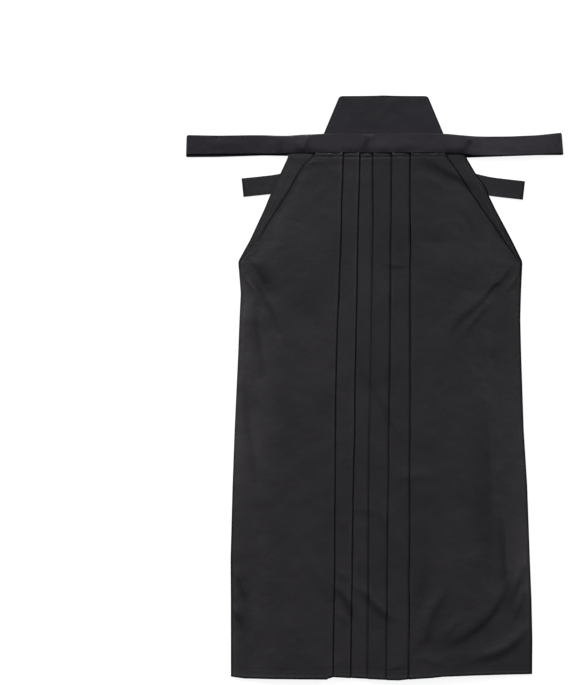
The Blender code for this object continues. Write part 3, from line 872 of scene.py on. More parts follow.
def edge_points(side, along, pleat, opened):
    """The side pleat from the outline inwards, with the rise and the shade of its edges."""
    outer = pleat[-1][0]
    name = side_name(side)
    rise = EDGE_RISE[name] * opened
    fold_edge = pleat[0][0] + side * FOLD_R
    rim = read_soft(RIM_ROWS, name, along)
    dark = fold_shade(side, along)
    wedge = WEDGE_TONE[name] * min(max((along - 215) / 30, 0.0), 1.0)
    points = []
    for index, (x, z) in reversed(list(enumerate(pleat))):
        inward = abs(x - outer)
        weight = opened * min(1.0, inward / 9)
        lift = rise * math.sin(min(inward / EDGE_RUN, 1.0) * math.pi / 2)
        shade = rim * math.exp(-((inward / RIM_RUN) ** 2))
        if index <= BEND_STEPS:
            shade += FOLD_DARK * dark
        else:
            shade += wedge + WEDGE_DARK * dark * math.exp(-(((x - fold_edge) / 1.3) ** 2))
        points.append((x, z + lift, weight, z - LOWEST_FRONT, shade))
    return points, rise


# The rows of the painted sheen beside the outline.
print("rows of wear:", len(PAINTED_SHEEN_ROWS))

# %% [markdown]
# The wide panel climbs from the side pleat to the top of the stack of pleats. It swells a little on
# the way, because pressed cloth never lies quite flat, and less so near the band that holds it.

# %% Panel of a front
PANEL_STEPS = 68
STACK_ROOM = 0.8
BILLOW = 2.2
BILLOW_RISE = 260
JOINT_ROWS = table("along right left", [
    (-505, 1.8, 1.8), (90, 1.9, 1.9), (160, 2.8, 2.9), (220, 4.2, 4.4), (260, 5.4, 5.8),
    (305, 6.8, 7.6), (330, 7.8, 8.8), (390, 9.6, 12.0), (425, 10.3, 12.9),
])


def panel_points(side, along, joint, shelf, top, opened, rise):
    """The wide panel from its side pleat to the first hidden pleat layer."""
    joint_x, joint_z = joint
    name = side_name(side)
    base = read_soft(JOINT_ROWS, name, along, spread=25) + rise
    width = abs(shelf - joint_x)
    points = []
    for step in range(1, PANEL_STEPS):
        share = step / PANEL_STEPS
        x = joint_x + (shelf - joint_x) * share
        z = base + (top - base) * share * share * (3 - 2 * share)
        swell = 1.5 * share / (1 + 0.5 * share)
        z += BILLOW * math.sin(math.pi * swell) ** 2 * min(1.0, (FRONT_TOP - along) / BILLOW_RISE)
        z += (joint_z - base) * math.exp(-share * width / 9)
        room = min(z - LOWEST_FRONT, STACK_ROOM + (1 - share) * width * 0.15)
        weight = min(1.0, share * width / 8)
        shade = 0.5 * fold_shade(side, along) * math.exp(-((share * width / 1.6) ** 2))
        points.append((x, z, weight + (1 - weight) * opened, room, shade))
    return points


print("panel steps:", PANEL_STEPS)

# %% [markdown]
# A strip is the cloth that shows between two pleats. Its points crowd together at its own fold and
# where the next pleat covers it, since the shape and the shade change quickest there.

# %% Strips of a front
STRIP_STEPS = 16
EDGE_DIP = 0.45
CROOK_STEPS = [0.0, 0.6, 1.2, 2.0, 3.2, 5.0]


def strip_places(start, end, covered, way):
    """Places across one strip, close together where a pleat covers it and at its own fold."""
    if covered is None or (end - covered) * way < 8:
        return [start + (end - start) * (step / STRIP_STEPS) ** 0.75 for step in range(STRIP_STEPS + 1)]
    places = [start + (covered - way - start) * step / 3 for step in range(3)]
    places += [covered + way * step for step in CROOK_STEPS]
    rest = STRIP_STEPS + 1 - len(places)
    last = places[-1]
    places += [last + (end - last) * math.sin(math.pi / 2 * (step + 1) / rest) for step in range(rest)]
    return places


def strip_point(at, z, fold, lift, covered, crook):
    """Point of a strip: it rises to its own fold and dips, in shade, where a pleat covers it."""
    shade = 0.0
    if fold is not None:
        z += lift * math.exp(-(((at - fold) / 1.8) ** 2))
    if covered is not None:
        z -= EDGE_DIP * math.exp(-(((at - covered) / 2.2) ** 2))
        shade = crook * math.exp(-(((at - covered) / 1.1) ** 2))
    return at, z, 1.0, STACK_ROOM, shade


print("strip steps:", STRIP_STEPS)

# %% [markdown]
# The parts are now joined into one line. Down the garment the lines stand close together at the
# hem, the hips and the band, and further apart where little happens.

# %% Line across a front
DEPTH_STEPS = 3
INNER_STEPS = 4
EDGE_LIFT = 0.45
# Painted shade in the crook under each pleat's edge, by pleat, from hem to waist.
CROOK_ROWS = table("along one two three four five", [
    (-505, 0.1, 0.1, 0.45, 0.4, 0.6), (-60, 0.1, 0.1, 0.4, 0.7, 0.65), (140, 0.1, 0.1, 0.4, 0.7, 0.7),
    (300, 0.0, 0.2, 1.0, 0.7, 1.0), (425, 0.0, 0.2, 1.0, 0.7, 1.0),
])


def front_line(side, along, edges):
    """Points (x, z, weight, room, shade) across one front, from the side edge to the centre."""
    core = read_soft(FRONT_ROWS, "core", along)
    deep = read(FRONT_ROWS, "deep", along)
    pleat = side_pleat_line(side, along)
    opened = min(max((SEAM_TOP - 40 - along) / 60, 0.0), 1.0)
    line, rise = edge_points(side, along, pleat, opened)
    level = 2 * len(edges)
    top = core + level * PITCH
    shelf = pleat_place(edges[0], along) + side * (FOLD_REACH + deep + 3)
    joint = (pleat[0][0], pleat[0][1] + rise)
    line += panel_points(side, along, joint, shelf, top, opened, rise)
    start_x = shelf
    covered = None
    crook = 0.0
    for edge in edges:
        place = pleat_place(edge, along)
        seed = PLEAT_SEEDS[edge] + 20
        lift = EDGE_LIFT * (1 + 0.6 * wobble(along, 55, seed))
        z = core + level * PITCH
        radius = (PITCH + lift) / 2
        x = place + side * (radius + THICK / 2)
        for at in strip_places(start_x, x, covered, -side):
            line.append(strip_point(at, z, x, lift, covered, crook))
        crook = read_soft(CROOK_ROWS, edge, along) * (1 + 0.3 * wobble(along, 38, seed + 5))
        for step, (bx, bz) in enumerate(bend(x, z + lift, z - PITCH, -side)):
            if step:
                line.append((bx, bz, 1.0, STACK_ROOM, crook * min(1.0, step / 3)))
        for step in range(1, DEPTH_STEPS):
            line.append((x + side * deep * step / DEPTH_STEPS, z - PITCH, 1.0, STACK_ROOM, crook))
        inner = bend(x + side * deep, z - PITCH, z - 2 * PITCH, side, INNER_STEPS)
        line += [(bx, bz, 1.0, STACK_ROOM, 0.0) for bx, bz in inner]
        start_x = x + side * (deep - 1.5)
        covered = place
        level -= 2
    centre = pleat_place("three", along)
    centre_crook = read_soft(CROOK_ROWS, "three", along) if side < 0 else 0.0
    for at in strip_places(start_x, side * SEAM, covered, -side):
        x, z, weight, room, shade = strip_point(at, core, None, 0.0, covered, crook)
        shade += FOLD_DARK * centre_crook * math.exp(-(((at - centre) / 1.6) ** 2))
        line.append((x, z, weight, room, shade))
    return line


def front_stations():
    """Places between hem and waist: close together at the hem, the hips and the band."""
    hem = np.arange(HEM, -484, 1.5)
    low = np.arange(-484, 168, 5.8)
    opening = np.arange(168, 226, 2.0)
    high = np.arange(226, 390, 5.0)
    waist = np.arange(390, 412, 1.1)
    top = np.arange(414, FRONT_TOP + 0.1, 5.5)
    return np.concatenate([hem, low, opening, high, waist, top])


print("stations:", len(front_stations()), "points:", len(front_line(-1, 0, ["one", "two"])))

# %% [markdown]
# The hem is not a straight cut: its edge dips and rises a few millimetres, and it rolls under. So
# the lowest lines are shifted to the hem's edge, and the shift fades out above it.

# %% Fronts
HEM_FADE = 70.0
HEM_DEPTH = 15.0
HEM_EDGE = 4.5
HEM_SHADE_RUN = 1.9
HEM_THICK = 0.4
HEM_GROOVE = 0.12
CREASES_STOP = 404
CREASES_FADE = 22


def hem_edge(across):
    """Height of the hem's edge at places across the garment."""
    return np.interp(across, [row["across"] for row in HEM_ROWS], [row["hem"] for row in HEM_ROWS])


def shift_to_hem(grid):
    """Moves the lowest rows so that the first one follows the hem's edge."""
    hem = hem_edge(grid[..., 0])
    start = grid[0, 0, 1]
    fade = np.clip(1 - (grid[..., 1] - start) / HEM_FADE, 0, 1) ** 2
    grid[..., 1] += (hem - start) * fade
    return grid


def hem_relief(along):
    """The hem is turned up twice: its edge is thicker, and its stitches draw a fine groove."""
    above = along - HEM
    thick = HEM_THICK * np.clip((HEM_EDGE + 2 - above) / 2.5, 0, 1)
    groove = -HEM_GROOVE * np.exp(-(((above - HEM_DEPTH) / 1.6) ** 2))
    return thick + groove


def make_front(name, side, edges):
    stations = front_stations()
    lines = np.array([front_line(side, float(along), edges) for along in stations])
    x, z, weights, rooms, shade = np.moveaxis(lines, -1, 0)
    along = stations[:, None] + np.zeros(x.shape)
    grid = np.stack([x, along, z], -1)
    # Each front's tone, and the painted sheen beside its outline.
    shade += FRONT_TONE[name.split("_")[0]] + painted_edge_sheen(side, grid)
    add_painted_shade(shade, x, along, FRONT_CREASES)
    shade += (1 - shade) * np.exp(-(((along - HEM) / HEM_SHADE_RUN) ** 2))
    relief = front_relief(x, along) * np.clip((CREASES_STOP - along) / CREASES_FADE, 0, 1)
    relief += waist_relief(x, along)
    relief = soft_floor(relief, rooms) * weights + hem_relief(along)
    grid[..., 2] += relief
    grid = shift_to_hem(grid)
    shell = make_shell(name + "_cloth", grid, panel_cloth, "panel_cloth", shade=shade)
    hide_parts(name)
    return shell


right_front = make_front("right_front", -1, ["one", "two"])
left_front = make_front("left_front", 1, ["five", "four", "three"])

# %% [markdown]
# ## The backs
# Only their rims show from above, but the trousers are looked at from below too. Each back is one
# flat panel with a deep pleat beside the centre seam, so it needs fewer points. Its weight presses
# it flat on the floor, so its few creases are soft troughs that lift off the floor.

# %% Backs
BACK_TOP = 393.7
BACK_FOLD = 12.0
BACK_DEEP = 40.0
BOARD_MIDDLE = 15.6
BOARD_FOOT_WIDTH = 252.0
BACK_LEVEL = 0.35
BACK_STEPS = 40
BACK_INNER_STEPS = 10
BACK_STATIONS = 110
SINGLE_FROM = 62
SINGLE_FADE = 12
BACK_HEM_SHADE = 0.5
BACK_CREASES = crease_table([
    (0.9, 16, 7, 0, -215, 190, -180, 110, -170, 20),
    (0.7, 8, 14, 0, -150, 340, -120, 300, -105, 240),
    (0.9, 7, 18, 0, -205, -250, -170, -330, -110, -400),
    (0.6, 22, 18, 0, -90, -60, -84, -210, -92, -330),
    (0.9, 7, 16, 0, 232, 180, 190, 120, 150, 90),
    (0.6, 12, 8, 0, 120, 330, 150, 270, 185, 230),
    (1.0, 8, 20, 0, 226, -300, 180, -390, 112, -440),
    (0.6, 20, 24, 0, 110, -20, 122, -160, 116, -300),
])


def back_line(side, along):
    name = side_name(side)
    outer = read_soft(OUTLINE_ROWS, name, min(along, SEAM_TOP), spread=4)
    if along > SEAM_TOP:
        share = (along - SEAM_TOP) / (BACK_TOP - SEAM_TOP)
        high = BOARD_MIDDLE + side * BOARD_FOOT_WIDTH / 2
        outer += (high - outer) * share
    fold = side * (BACK_FOLD + FOLD_REACH)
    line = [(outer + (fold - outer) * step / BACK_STEPS, BACK_LEVEL) for step in range(BACK_STEPS)]
    line += bend(fold, BACK_LEVEL, BACK_LEVEL + PITCH, -side)
    for step in range(1, DEPTH_STEPS):
        line.append((fold + side * BACK_DEEP * step / DEPTH_STEPS, BACK_LEVEL + PITCH))
    line += bend(fold + side * BACK_DEEP, BACK_LEVEL + PITCH, BACK_LEVEL + 2 * PITCH, side)
    inner = fold + side * BACK_DEEP
    for step in range(1, BACK_INNER_STEPS + 1):
        x = inner + (side * SEAM - inner) * step / BACK_INNER_STEPS
        line.append((x, BACK_LEVEL + 2 * PITCH))
    return line


def make_back(name, side):
    grid = np.array([[(x, along, z) for x, z in back_line(side, along)]
                     for along in np.linspace(HEM, BACK_TOP, BACK_STATIONS).tolist()])
    outline = np.abs(grid[:, :1, 0])
    from_middle = np.abs(grid[..., 0])
    single = np.clip((from_middle - SINGLE_FROM) / SINGLE_FADE, 0, 1)
    single *= np.clip((outline - from_middle) / SINGLE_FADE, 0, 1)
    add_creases(grid[..., 2], grid[..., 0], grid[..., 1], BACK_CREASES, single)
    grid = shift_to_hem(grid)
    shade = BACK_HEM_SHADE * np.exp(-(((grid[..., 1] - grid[:1, :, 1]) / 1.6) ** 2))
    shell = make_shell(name + "_cloth", grid, panel_cloth, "panel_cloth", shade=shade)
    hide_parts(name)
    return shell


right_back = make_back("right_back", -1)
left_back = make_back("left_back", 1)

# %% [markdown]
# ## Band and front ties
# The front band and both front ties are one long strip, folded lengthwise over the top of the
# fronts. Its cross-section is a narrow U. The U travels along the strip, closes up where the band
# ends and the tie begins, and turns over at each outer end, where the tie is folded back. Its sewn
# lower edge is pressed down on the pleats, a little deeper between two of them.

# %% Strip tables
TIE_LOW = 3.1
TIE_HIGH = TIE_LOW + PITCH
BAND_LOW = 3.8
RETURN_MIDDLE = 1.15
REACH = 659.4
STRIP_ROWS = table("across foot top low high", [
    (-273, 408.0, 439.8, TIE_LOW, TIE_HIGH), (-215, 408.6, 440.6, TIE_LOW, TIE_HIGH),
    (-190, 408.5, 440.5, TIE_LOW, TIE_HIGH + 0.2), (-172, 408.4, 439.6, TIE_LOW + 0.3, 5.6),
    (-150, 409.0, 439.4, BAND_LOW, 7.4), (-128, 409.6, 441.2, BAND_LOW, 9.6),
    (-107, 409.6, 441.6, BAND_LOW, 11.8), (-82, 409.7, 443.2, BAND_LOW, 11.8),
    (-55, 409.9, 443.4, BAND_LOW, 11.8), (-26, 410.2, 443.0, BAND_LOW, 9.4),
    (-15, 410.2, 442.8, BAND_LOW, 8.8), (-5, 410.0, 442.8, BAND_LOW, 9.4),
    (26, 409.8, 443.0, BAND_LOW, 12.0), (60, 409.6, 443.2, BAND_LOW, 14.5),
    (92, 409.4, 443.0, BAND_LOW, 14.5), (126, 409.0, 442.4, BAND_LOW, 14.0),
    (143, 408.6, 440.8, BAND_LOW, 11.2), (160, 407.4, 439.6, BAND_LOW, 8.4),
    (176, 405.6, 438.4, TIE_LOW + 0.4, 6.2), (196, 405.0, 438.1, TIE_LOW, TIE_HIGH + 0.2),
    (236, 405.6, 438.4, TIE_LOW, TIE_HIGH), (284, 406.8, 440.5, TIE_LOW, TIE_HIGH),
])
RIGHT_TIE_END = dict(foot=407.2, top=440.8, lean=0.03)
LEFT_TIE_END = dict(foot=409.6, top=445.0, lean=-0.08)
RIGHT_RETURN_ROWS = table("across foot top", [
    (-320, 402.5, 434.6), (-273, 402.8, 434.6), (-193, 405.4, 437.0), (-112, 404.0, 435.6),
])
LEFT_RETURN_ROWS = table("across foot top", [
    (150, 401.2, 433.4), (198, 402.9, 435.0), (284, 405.9, 438.4), (320, 406.2, 438.6),
])
STRIP_CREASES = crease_table([
    (0.9, 2.5, 6, 0.22, -163, 439, -165, 424, -161, 408),
    (0.6, 3, 6, 0, -172, 440, -176, 424, -171, 408),
    (1.3, 2.5, 8, 0.2, -114, 440, -118, 426, -125, 410),
    (0.8, 2.5, 6, 0.2, -137, 432, -131, 418, -134, 409),
    (0.6, 2.5, 6, 0, -146, 438, -141, 428, -139, 420),
    (0.5, 6, 9, 0, -300, 432, -262, 424, -214, 427),
    (1.2, 2.5, 9, 0.4, -19, 443, -12, 434, -15, 426, -23, 418),
    (0.6, 3, 6, 0, -8, 443, -3, 436, -4, 430),
    (-0.4, 5, 5, 0, 40, 416, 66, 412, 92, 418),
    (1.5, 2.2, 6, 0.45, 172, 438, 166, 429, 157, 420),
    (0.9, 2.2, 5, 0.35, 161, 423, 153, 412, 150, 406),
    (0.6, 4, 2.5, 0, 157, 440, 163, 434, 169, 427),
    (0.4, 5, 7, 0, 181, 436, 190, 422, 187, 408),
    (0.5, 6, 6, 0, 215, 430, 240, 416, 262, 411),
    (0.5, 3, 7, 0, 300, 440, 308, 426, 303, 412),
])
PRESS_ROWS = table("across press", [
    (-166, 0.0), (-150, 1.2), (-140, 1.9), (-126, 2.5), (-113, 3.1), (-107, 2.2), (-103, 0.8),
    (-60, 0.8), (-53, 1.4), (-42, 2.1), (-30, 1.1), (-24, 2.1), (-15, 2.8), (-6, 2.4), (-2, 1.1),
    (14, 2.3), (27, 1.7), (31, 1.0), (46, 2.3), (57, 2.2), (63, 0.8), (121, 0.8), (126, 2.8),
    (150, 2.7), (160, 1.4), (172, 0.0),
])
TONE_ROWS = table("across tone", [
    (-340, 0.2), (-170, 0.2), (-140, 0.0), (150, 0.0), (172, 0.1), (340, 0.12),
])
PRESS_RUN = 4.8
TIE_TILT_ROWS = table("across tilt", [
    (150, 0.0), (192, 0.1), (296, 0.1), (318, 0.02),
])

# %% [markdown]
# A station of the strip is an origin, the direction across it, the direction out of its face, and
# the U-shaped section. The same section serves the flat run and the turn at the tie's end.

# %% Section of a strip
SECTION_FLAT = 14
SECTION_TURN = 8
CROWN_MARGIN = 0.4
CROWN_BULGE = 0.9
OPEN_EDGE_SHADE = 0.38


def strip_section(foot, top, low, high):
    """Cross-section of a strip folded lengthwise: from one long edge up, over and down."""
    radius = (high - low) / 2
    bulge = min(radius, CROWN_BULGE)
    crown = top - CROWN_MARGIN - bulge
    shares = [(1 - math.cos(math.pi * step / SECTION_FLAT)) / 2 for step in range(SECTION_FLAT + 1)]
    line = [(foot + (crown - foot) * share, low) for share in shares[:-1]]
    for step in range(SECTION_TURN + 1):
        angle = math.pi * step / SECTION_TURN
        across = crown + bulge * math.sin(angle)
        line.append((across, (low + high) / 2 - radius * math.cos(angle)))
    line += [(foot + (crown - foot) * share, high) for share in reversed(shares[:-1])]
    return np.array(line)


def strip_shade(grid, fold, tone=0.0):
    """Shade of a strip: that of its cloth, of its long fold and of its open edge."""
    shade = np.zeros(grid.shape[:2]) + tone
    turn = slice(SECTION_FLAT, SECTION_FLAT + SECTION_TURN)
    shade[:, turn] = fold
    open_edge = np.linalg.norm(grid - grid[:, -1:], axis=2)
    return np.maximum(shade, OPEN_EDGE_SHADE * np.exp(-((open_edge / 1.2) ** 2)))


def strip_station(x, z, heading, foot, top, low, high, lean=0.0):
    """Points of one section whose length direction has the given heading, in degrees."""
    angle = math.radians(heading)
    normal = np.array([-math.sin(angle), 0.0, math.cos(angle)])
    across = np.array([lean, 1.0, 0.0])
    origin = np.array([x - lean * (foot + top) / 2, 0.0, z])
    section = strip_section(foot, top, low, high)
    return origin + section[:, :1] * across + section[:, 1:] * normal


print("points in a section:", len(strip_section(0, 30, 0, PITCH)))

# %% [markdown]
# At its outer end each front tie is folded back under itself. The stations turn half a circle
# there, and then a flat run goes back along the floor to where it passes out of sight.

# %% Turn and return of a tie
TIE_TURN_STEPS = 12
RETURN_STATIONS = 36


def tie_turn(side, end, back, steps=TIE_TURN_STEPS):
    """Stations round the fold at the outer end of a front tie, from the top run down."""
    upper = TIE_LOW + PITCH / 2
    centre_z = (RETURN_MIDDLE + upper) / 2
    radius = (upper - RETURN_MIDDLE) / 2
    slant = abs(end["lean"]) * (end["top"] - end["foot"]) / 2
    centre_x = REACH / 2 - slant - radius - 0.5 - PITCH / 2
    stations = []
    for step in range(steps + 1):
        share = step / steps
        angle = math.radians(-180 * share)
        foot = end["foot"] + (back["foot"] - end["foot"]) * share
        top = end["top"] + (back["top"] - end["top"]) * share
        x = side * (centre_x - radius * math.sin(angle))
        z = centre_z + radius * math.cos(angle)
        heading = -180 * share * side
        station = strip_station(x, z, heading, foot, top, -PITCH / 2, PITCH / 2, end["lean"])
        stations.append(station)
    return stations, centre_x


def return_run(rows, heading, stop):
    """Flat run of the folded-back tie, between its rows' ends, on the floor."""
    stations = []
    ends = sorted([rows[0]["across"], rows[-1]["across"]], key=abs)
    for across in np.linspace(ends[0], math.copysign(stop, ends[0]), RETURN_STATIONS):
        foot = read_soft(rows, "foot", across, "across")
        top = read_soft(rows, "top", across, "across")
        stations.append(strip_station(across, RETURN_MIDDLE, heading, foot, top, -PITCH / 2, PITCH / 2))
    return stations


print("stations of a turn:", len(tie_turn(1, LEFT_TIE_END, LEFT_RETURN_ROWS[-1])[0]))

# %% [markdown]
# The whole strip is one row of stations from one hidden end to the other. Only its upper face takes
# the creases. They fade out over the last 4 mm above its foot, and the press pushes the foot down
# there.

# %% Front band
BAND_STATIONS = 200
PRESSED_FROM = -92
PRESSED_TO = 124
# Painted shade on the band's rounded top edge, more where it lies over the board.
CROWN_SHADE = 0.4
PRESSED_SHADE = 0.3
TURN_ROOM = 4
RETURN_TOP = 3.0


def make_front_band():
    right_turn, stop = tie_turn(-1, RIGHT_TIE_END, RIGHT_RETURN_ROWS[0])
    left_turn, left_stop = tie_turn(1, LEFT_TIE_END, LEFT_RETURN_ROWS[-1])
    ends = [dict(across=-stop, low=TIE_LOW, high=TIE_HIGH, **RIGHT_TIE_END)]
    rows = ends + STRIP_ROWS + [dict(across=left_stop, low=TIE_LOW, high=TIE_HIGH, **LEFT_TIE_END)]
    stations = return_run(RIGHT_RETURN_ROWS, 180, stop - TURN_ROOM)
    stations += list(reversed(right_turn))
    for across in np.linspace(-stop + TURN_ROOM, left_stop - TURN_ROOM, BAND_STATIONS):
        low = read_soft(rows, "low", across, "across")
        high = read_soft(rows, "high", across, "across", 9)
        middle = (low + high) / 2
        foot = read_soft(rows, "foot", across, "across")
        top = read_soft(rows, "top", across, "across")
        station = strip_station(across, middle, 0, foot, top, low - middle, high - middle)
        tilt = read_soft(TIE_TILT_ROWS, "tilt", across, "across")
        station[:, 2] += tilt * (top - station[:, 1])
        stations.append(station)
    stations += left_turn
    stations += list(reversed(return_run(LEFT_RETURN_ROWS, -180, left_stop - TURN_ROOM)))
    grid = np.array(stations)
    face = np.zeros(grid.shape[:2])
    face[:, SECTION_FLAT + SECTION_TURN + 1:] = 1.0
    face *= (grid[..., 2] > RETURN_TOP)
    relief = 0.3 * lattice_noise(grid[..., 0], grid[..., 1] * 0.7, 30, 21)
    add_creases(relief, grid[..., 0], grid[..., 1], STRIP_CREASES)
    places = grid[:, -1, 0]
    press = read_along(PRESS_ROWS, "press", places, "across")
    foot = np.abs(grid[..., 1] - grid[:, -1:, 1])
    relief = relief * np.clip(foot / 4, 0, 1) - press[:, None] * np.exp(-((foot / PRESS_RUN) ** 1.6))
    grid[..., 2] += relief * face
    tone = read_along(TONE_ROWS, "tone", places, "across")
    pressed = np.clip((places - PRESSED_FROM) / 14, 0, 1) * np.clip((PRESSED_TO - places) / 12, 0, 1)
    shade = strip_shade(grid, CROWN_SHADE + PRESSED_SHADE * pressed[:, None], tone[:, None])
    add_painted_shade(shade, grid[..., 0], grid[..., 1], STRIP_CREASES, face)
    shell = make_shell("front_band_cloth", grid, band_cloth, "band_cloth", shade=shade)
    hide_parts("front_band")
    return shell


front_band = make_front_band()

# %% [markdown]
# ## Back ties
# Two short ends show, one on each side. They are the same kind of folded strip, sewn to the foot
# of the board, and they slip out from under the open hips.

# %% Back ties
BACK_TIE_WIDTH = 32.6
BACK_TIE_REST = 2.45
BACK_TIE_STATIONS = 60
TIE_FOLD_SHADE = 0.35
TIE_END_SHADE = 0.7
RIGHT_BACK_TIE_ROWS = table("x y z", [
    (-58.0, 376.8, BACK_TIE_REST), (-92.0, 375.6, BACK_TIE_REST), (-124.0, 368.5, BACK_TIE_REST),
    (-154.0, 359.0, BACK_TIE_REST), (-175.0, 355.0, RETURN_MIDDLE), (-202.0, 352.1, RETURN_MIDDLE),
    (-230.6, 349.2, RETURN_MIDDLE),
])
LEFT_BACK_TIE_ROWS = table("x y z", [
    (74.0, 376.8, BACK_TIE_REST), (112.0, 374.8, BACK_TIE_REST), (146.0, 365.4, BACK_TIE_REST),
    (180.0, 355.6, BACK_TIE_REST), (202.0, 351.0, RETURN_MIDDLE), (228.0, 347.9, RETURN_MIDDLE),
    (260.4, 344.3, RETURN_MIDDLE),
])


def make_back_tie(name, rows):
    places = np.arange(len(rows))
    fine = np.linspace(0, len(rows) - 1, BACK_TIE_STATIONS)
    centres = []
    for key in ("x", "y", "z"):
        values = [row[key] for row in rows]
        soft = sum(np.interp(np.clip(fine + shift, 0, len(rows) - 1), places, values)
                   for shift in (-0.3, 0.0, 0.3)) / 3
        soft[0] = values[0]
        soft[-1] = values[-1]
        centres.append(soft)
    centres = np.stack(centres, -1)
    steps = unit(np.gradient(centres[:, :2], axis=0))
    side = 1.0 if centres[-1][0] > centres[0][0] else -1.0
    half = BACK_TIE_WIDTH / 2
    section = strip_section(-half, half, -PITCH / 2, PITCH / 2)
    stations = []
    for centre, (dx, dy) in zip(centres, steps):
        across = np.array([-dy * side, dx * side, 0.0])
        stations.append(centre + section[:, :1] * across + section[:, 1:] * np.array([0.0, 0.0, 1.0]))
    grid = np.array(stations)
    end = np.linalg.norm(grid - grid[-1:], axis=2)
    end_shade = TIE_END_SHADE * np.exp(-((end / 1.3) ** 2))
    shade = np.maximum(strip_shade(grid, TIE_FOLD_SHADE), end_shade)
    shell = make_shell(name + "_cloth", grid, tie_cloth, "band_cloth", shade=shade)
    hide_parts(name)
    return shell


right_back_tie = make_back_tie("right_back_tie", RIGHT_BACK_TIE_ROWS)
left_back_tie = make_back_tie("left_back_tie", LEFT_BACK_TIE_ROWS)

# %% [markdown]
# ## The board
# The board at the back waist is stiff, with cloth drawn over both faces, so it has no folds. What
# makes it look covered is its soft rim, the round corners and a seam that crosses it.

# %% Board
BOARD_FOOT = 394.0
BOARD_TOP = 510.0
BOARD_TOP_WIDTH = 155.0
BOARD_THICK = 3.0
BOARD_CORNER = 4.0
BOARD_SEAM = 449.7
BOARD_ROLL = 1.3
BOARD_INSET = 0.8
BOARD_GROOVE = 0.05
BOARD_STEPS = 60
BOARD_RIM_SHADE = 0.45


def make_board():
    rows = []
    reach = BOARD_TOP - BOARD_FOOT
    narrower = BOARD_TOP_WIDTH - BOARD_FOOT_WIDTH
    high = BOARD_TOP - BOARD_ROLL
    for along in np.concatenate([np.linspace(BOARD_FOOT + BOARD_ROLL, high - BOARD_CORNER, BOARD_STEPS),
                                 np.linspace(high - BOARD_CORNER + 0.4, high, 12)]):
        share = (along - BOARD_FOOT) / reach
        half = (BOARD_FOOT_WIDTH + narrower * share) / 2 - BOARD_ROLL - BOARD_INSET
        into = max(0.0, along - (high - BOARD_CORNER)) / BOARD_CORNER
        half -= BOARD_CORNER * (1 - math.sqrt(max(0.0, 1 - into * into)))
        groove = -BOARD_GROOVE * math.exp(-(((along - BOARD_SEAM) / 1.6) ** 2))
        rows.append([(BOARD_MIDDLE - half + 2 * half * step / BOARD_STEPS, float(along),
                      BOARD_THICK / 2 + groove) for step in range(BOARD_STEPS + 1)])
    grid = np.array(rows)
    rim = np.minimum(high - grid[..., 1], np.abs(grid[..., 0] - grid[:, :1, 0]))
    rim = np.minimum(rim, np.abs(grid[..., 0] - grid[:, -1:, 0]))
    shade = BOARD_RIM_SHADE * np.exp(-((rim / 1.5) ** 2))
    shell = make_shell("back_board_cover", grid, board_cloth, "board_cloth",
                       BOARD_THICK - 0.1, BOARD_ROLL, 5, shade)
    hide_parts("back_board")
    return shell


back_board = make_board()

# %% [markdown]
# ## Sewing
# Stitches are tiny, but they are what makes a fold look sewn and not just bent. Each one is a short
# dash of thread whose ends dive into the cloth. A ray is cast at the cloth from above, or from
# below for the underside, to find how high the dash lies there. All the stitches of one line are a
# single mesh.

# %% Stitch helper
STITCH = 2.7
STITCH_PITCH = 3.6
STITCH_HALF = 0.22
RAY_START = 0.08
THREAD_PATH = ((-0.5, -0.15), (-0.25, 0.14), (0.25, 0.14), (0.5, -0.15))
LARGEST_STEP = 0.0012


def thread_material(name, colour):
    material, shader = new_material(name)
    make = NodeMaker(material)
    dark = [value * 0.7 for value in colour]
    light = [value * 1.2 for value in colour]
    ramp = make.ramp(make.noise(Scale=900.0), "Fac", dark, light)
    make.join(ramp, "Color", shader, "Base Color")
    shader.inputs["Roughness"].default_value = 0.5
    return material


def surface_tree(piece):
    mesh = piece.data
    points = [tuple(vertex.co) for vertex in mesh.vertices]
    return BVHTree.FromPolygons(points, [tuple(face.vertices) for face in mesh.polygons])


def lay_stitches(name, tree, routes, material, slot, below=False):
    """One mesh of dashes along routes of (x, y) in millimetres, laid on a surface."""
    way = Vector((0, 0, 1 if below else -1))
    up = -way
    start_z = -RAY_START if below else RAY_START
    points = []
    faces = []
    for route in routes:
        route = np.array(route, dtype=float)
        gone = np.concatenate([[0.0], np.cumsum(np.linalg.norm(np.diff(route, axis=0), axis=1))])
        for centre in np.arange(STITCH_PITCH / 2, gone[-1], STITCH_PITCH):
            spots = []
            for shift, sink in THREAD_PATH:
                at = centre + shift * STITCH
                x = float(np.interp(at, gone, route[:, 0])) * MM
                y = float(np.interp(at, gone, route[:, 1])) * MM
                hit = tree.ray_cast(Vector((x, y, start_z)), way)[0]
                if hit is None:
                    break
                spots.append(hit + up * sink * MM)
            if len(spots) < 4 or max(abs(a.z - b.z) for a, b in zip(spots, spots[1:])) > LARGEST_STEP:
                continue
            run = (spots[-1] - spots[0]).normalized()
            across = run.cross(up).normalized() * STITCH_HALF * MM
            lift = up * STITCH_HALF * MM * 0.8
            first = len(points)
            for spot in spots:
                points += [spot - across, spot + lift, spot + across, spot - lift]
            for ring in range(3):
                for corner in range(4):
                    a = first + ring * 4 + corner
                    b = first + ring * 4 + (corner + 1) % 4
                    faces.append((a, b, b + 4, a + 4))
            faces.append((first + 3, first + 2, first + 1, first))
            faces.append((first + 12, first + 13, first + 14, first + 15))
    mesh = bpy.data.meshes.new(name)
    mesh.from_pydata(points, [], faces)
    add_piece(name, mesh, material, slot)
    print(f"{name}: {len(points) // 16} stitches")


dark_thread = thread_material("Charcoal thread", (0.022, 0.020, 0.024))
pale_thread = thread_material("Worn thread", (0.055, 0.052, 0.058))

# %% [markdown]
# The lines of stitches: the tuck and the lower edge of the band, the hem, the narrow hems beside
# both hip openings, one long edge of each back tie, and the rim of the board. The hems of the backs
# and the board have their lines on the underside too.

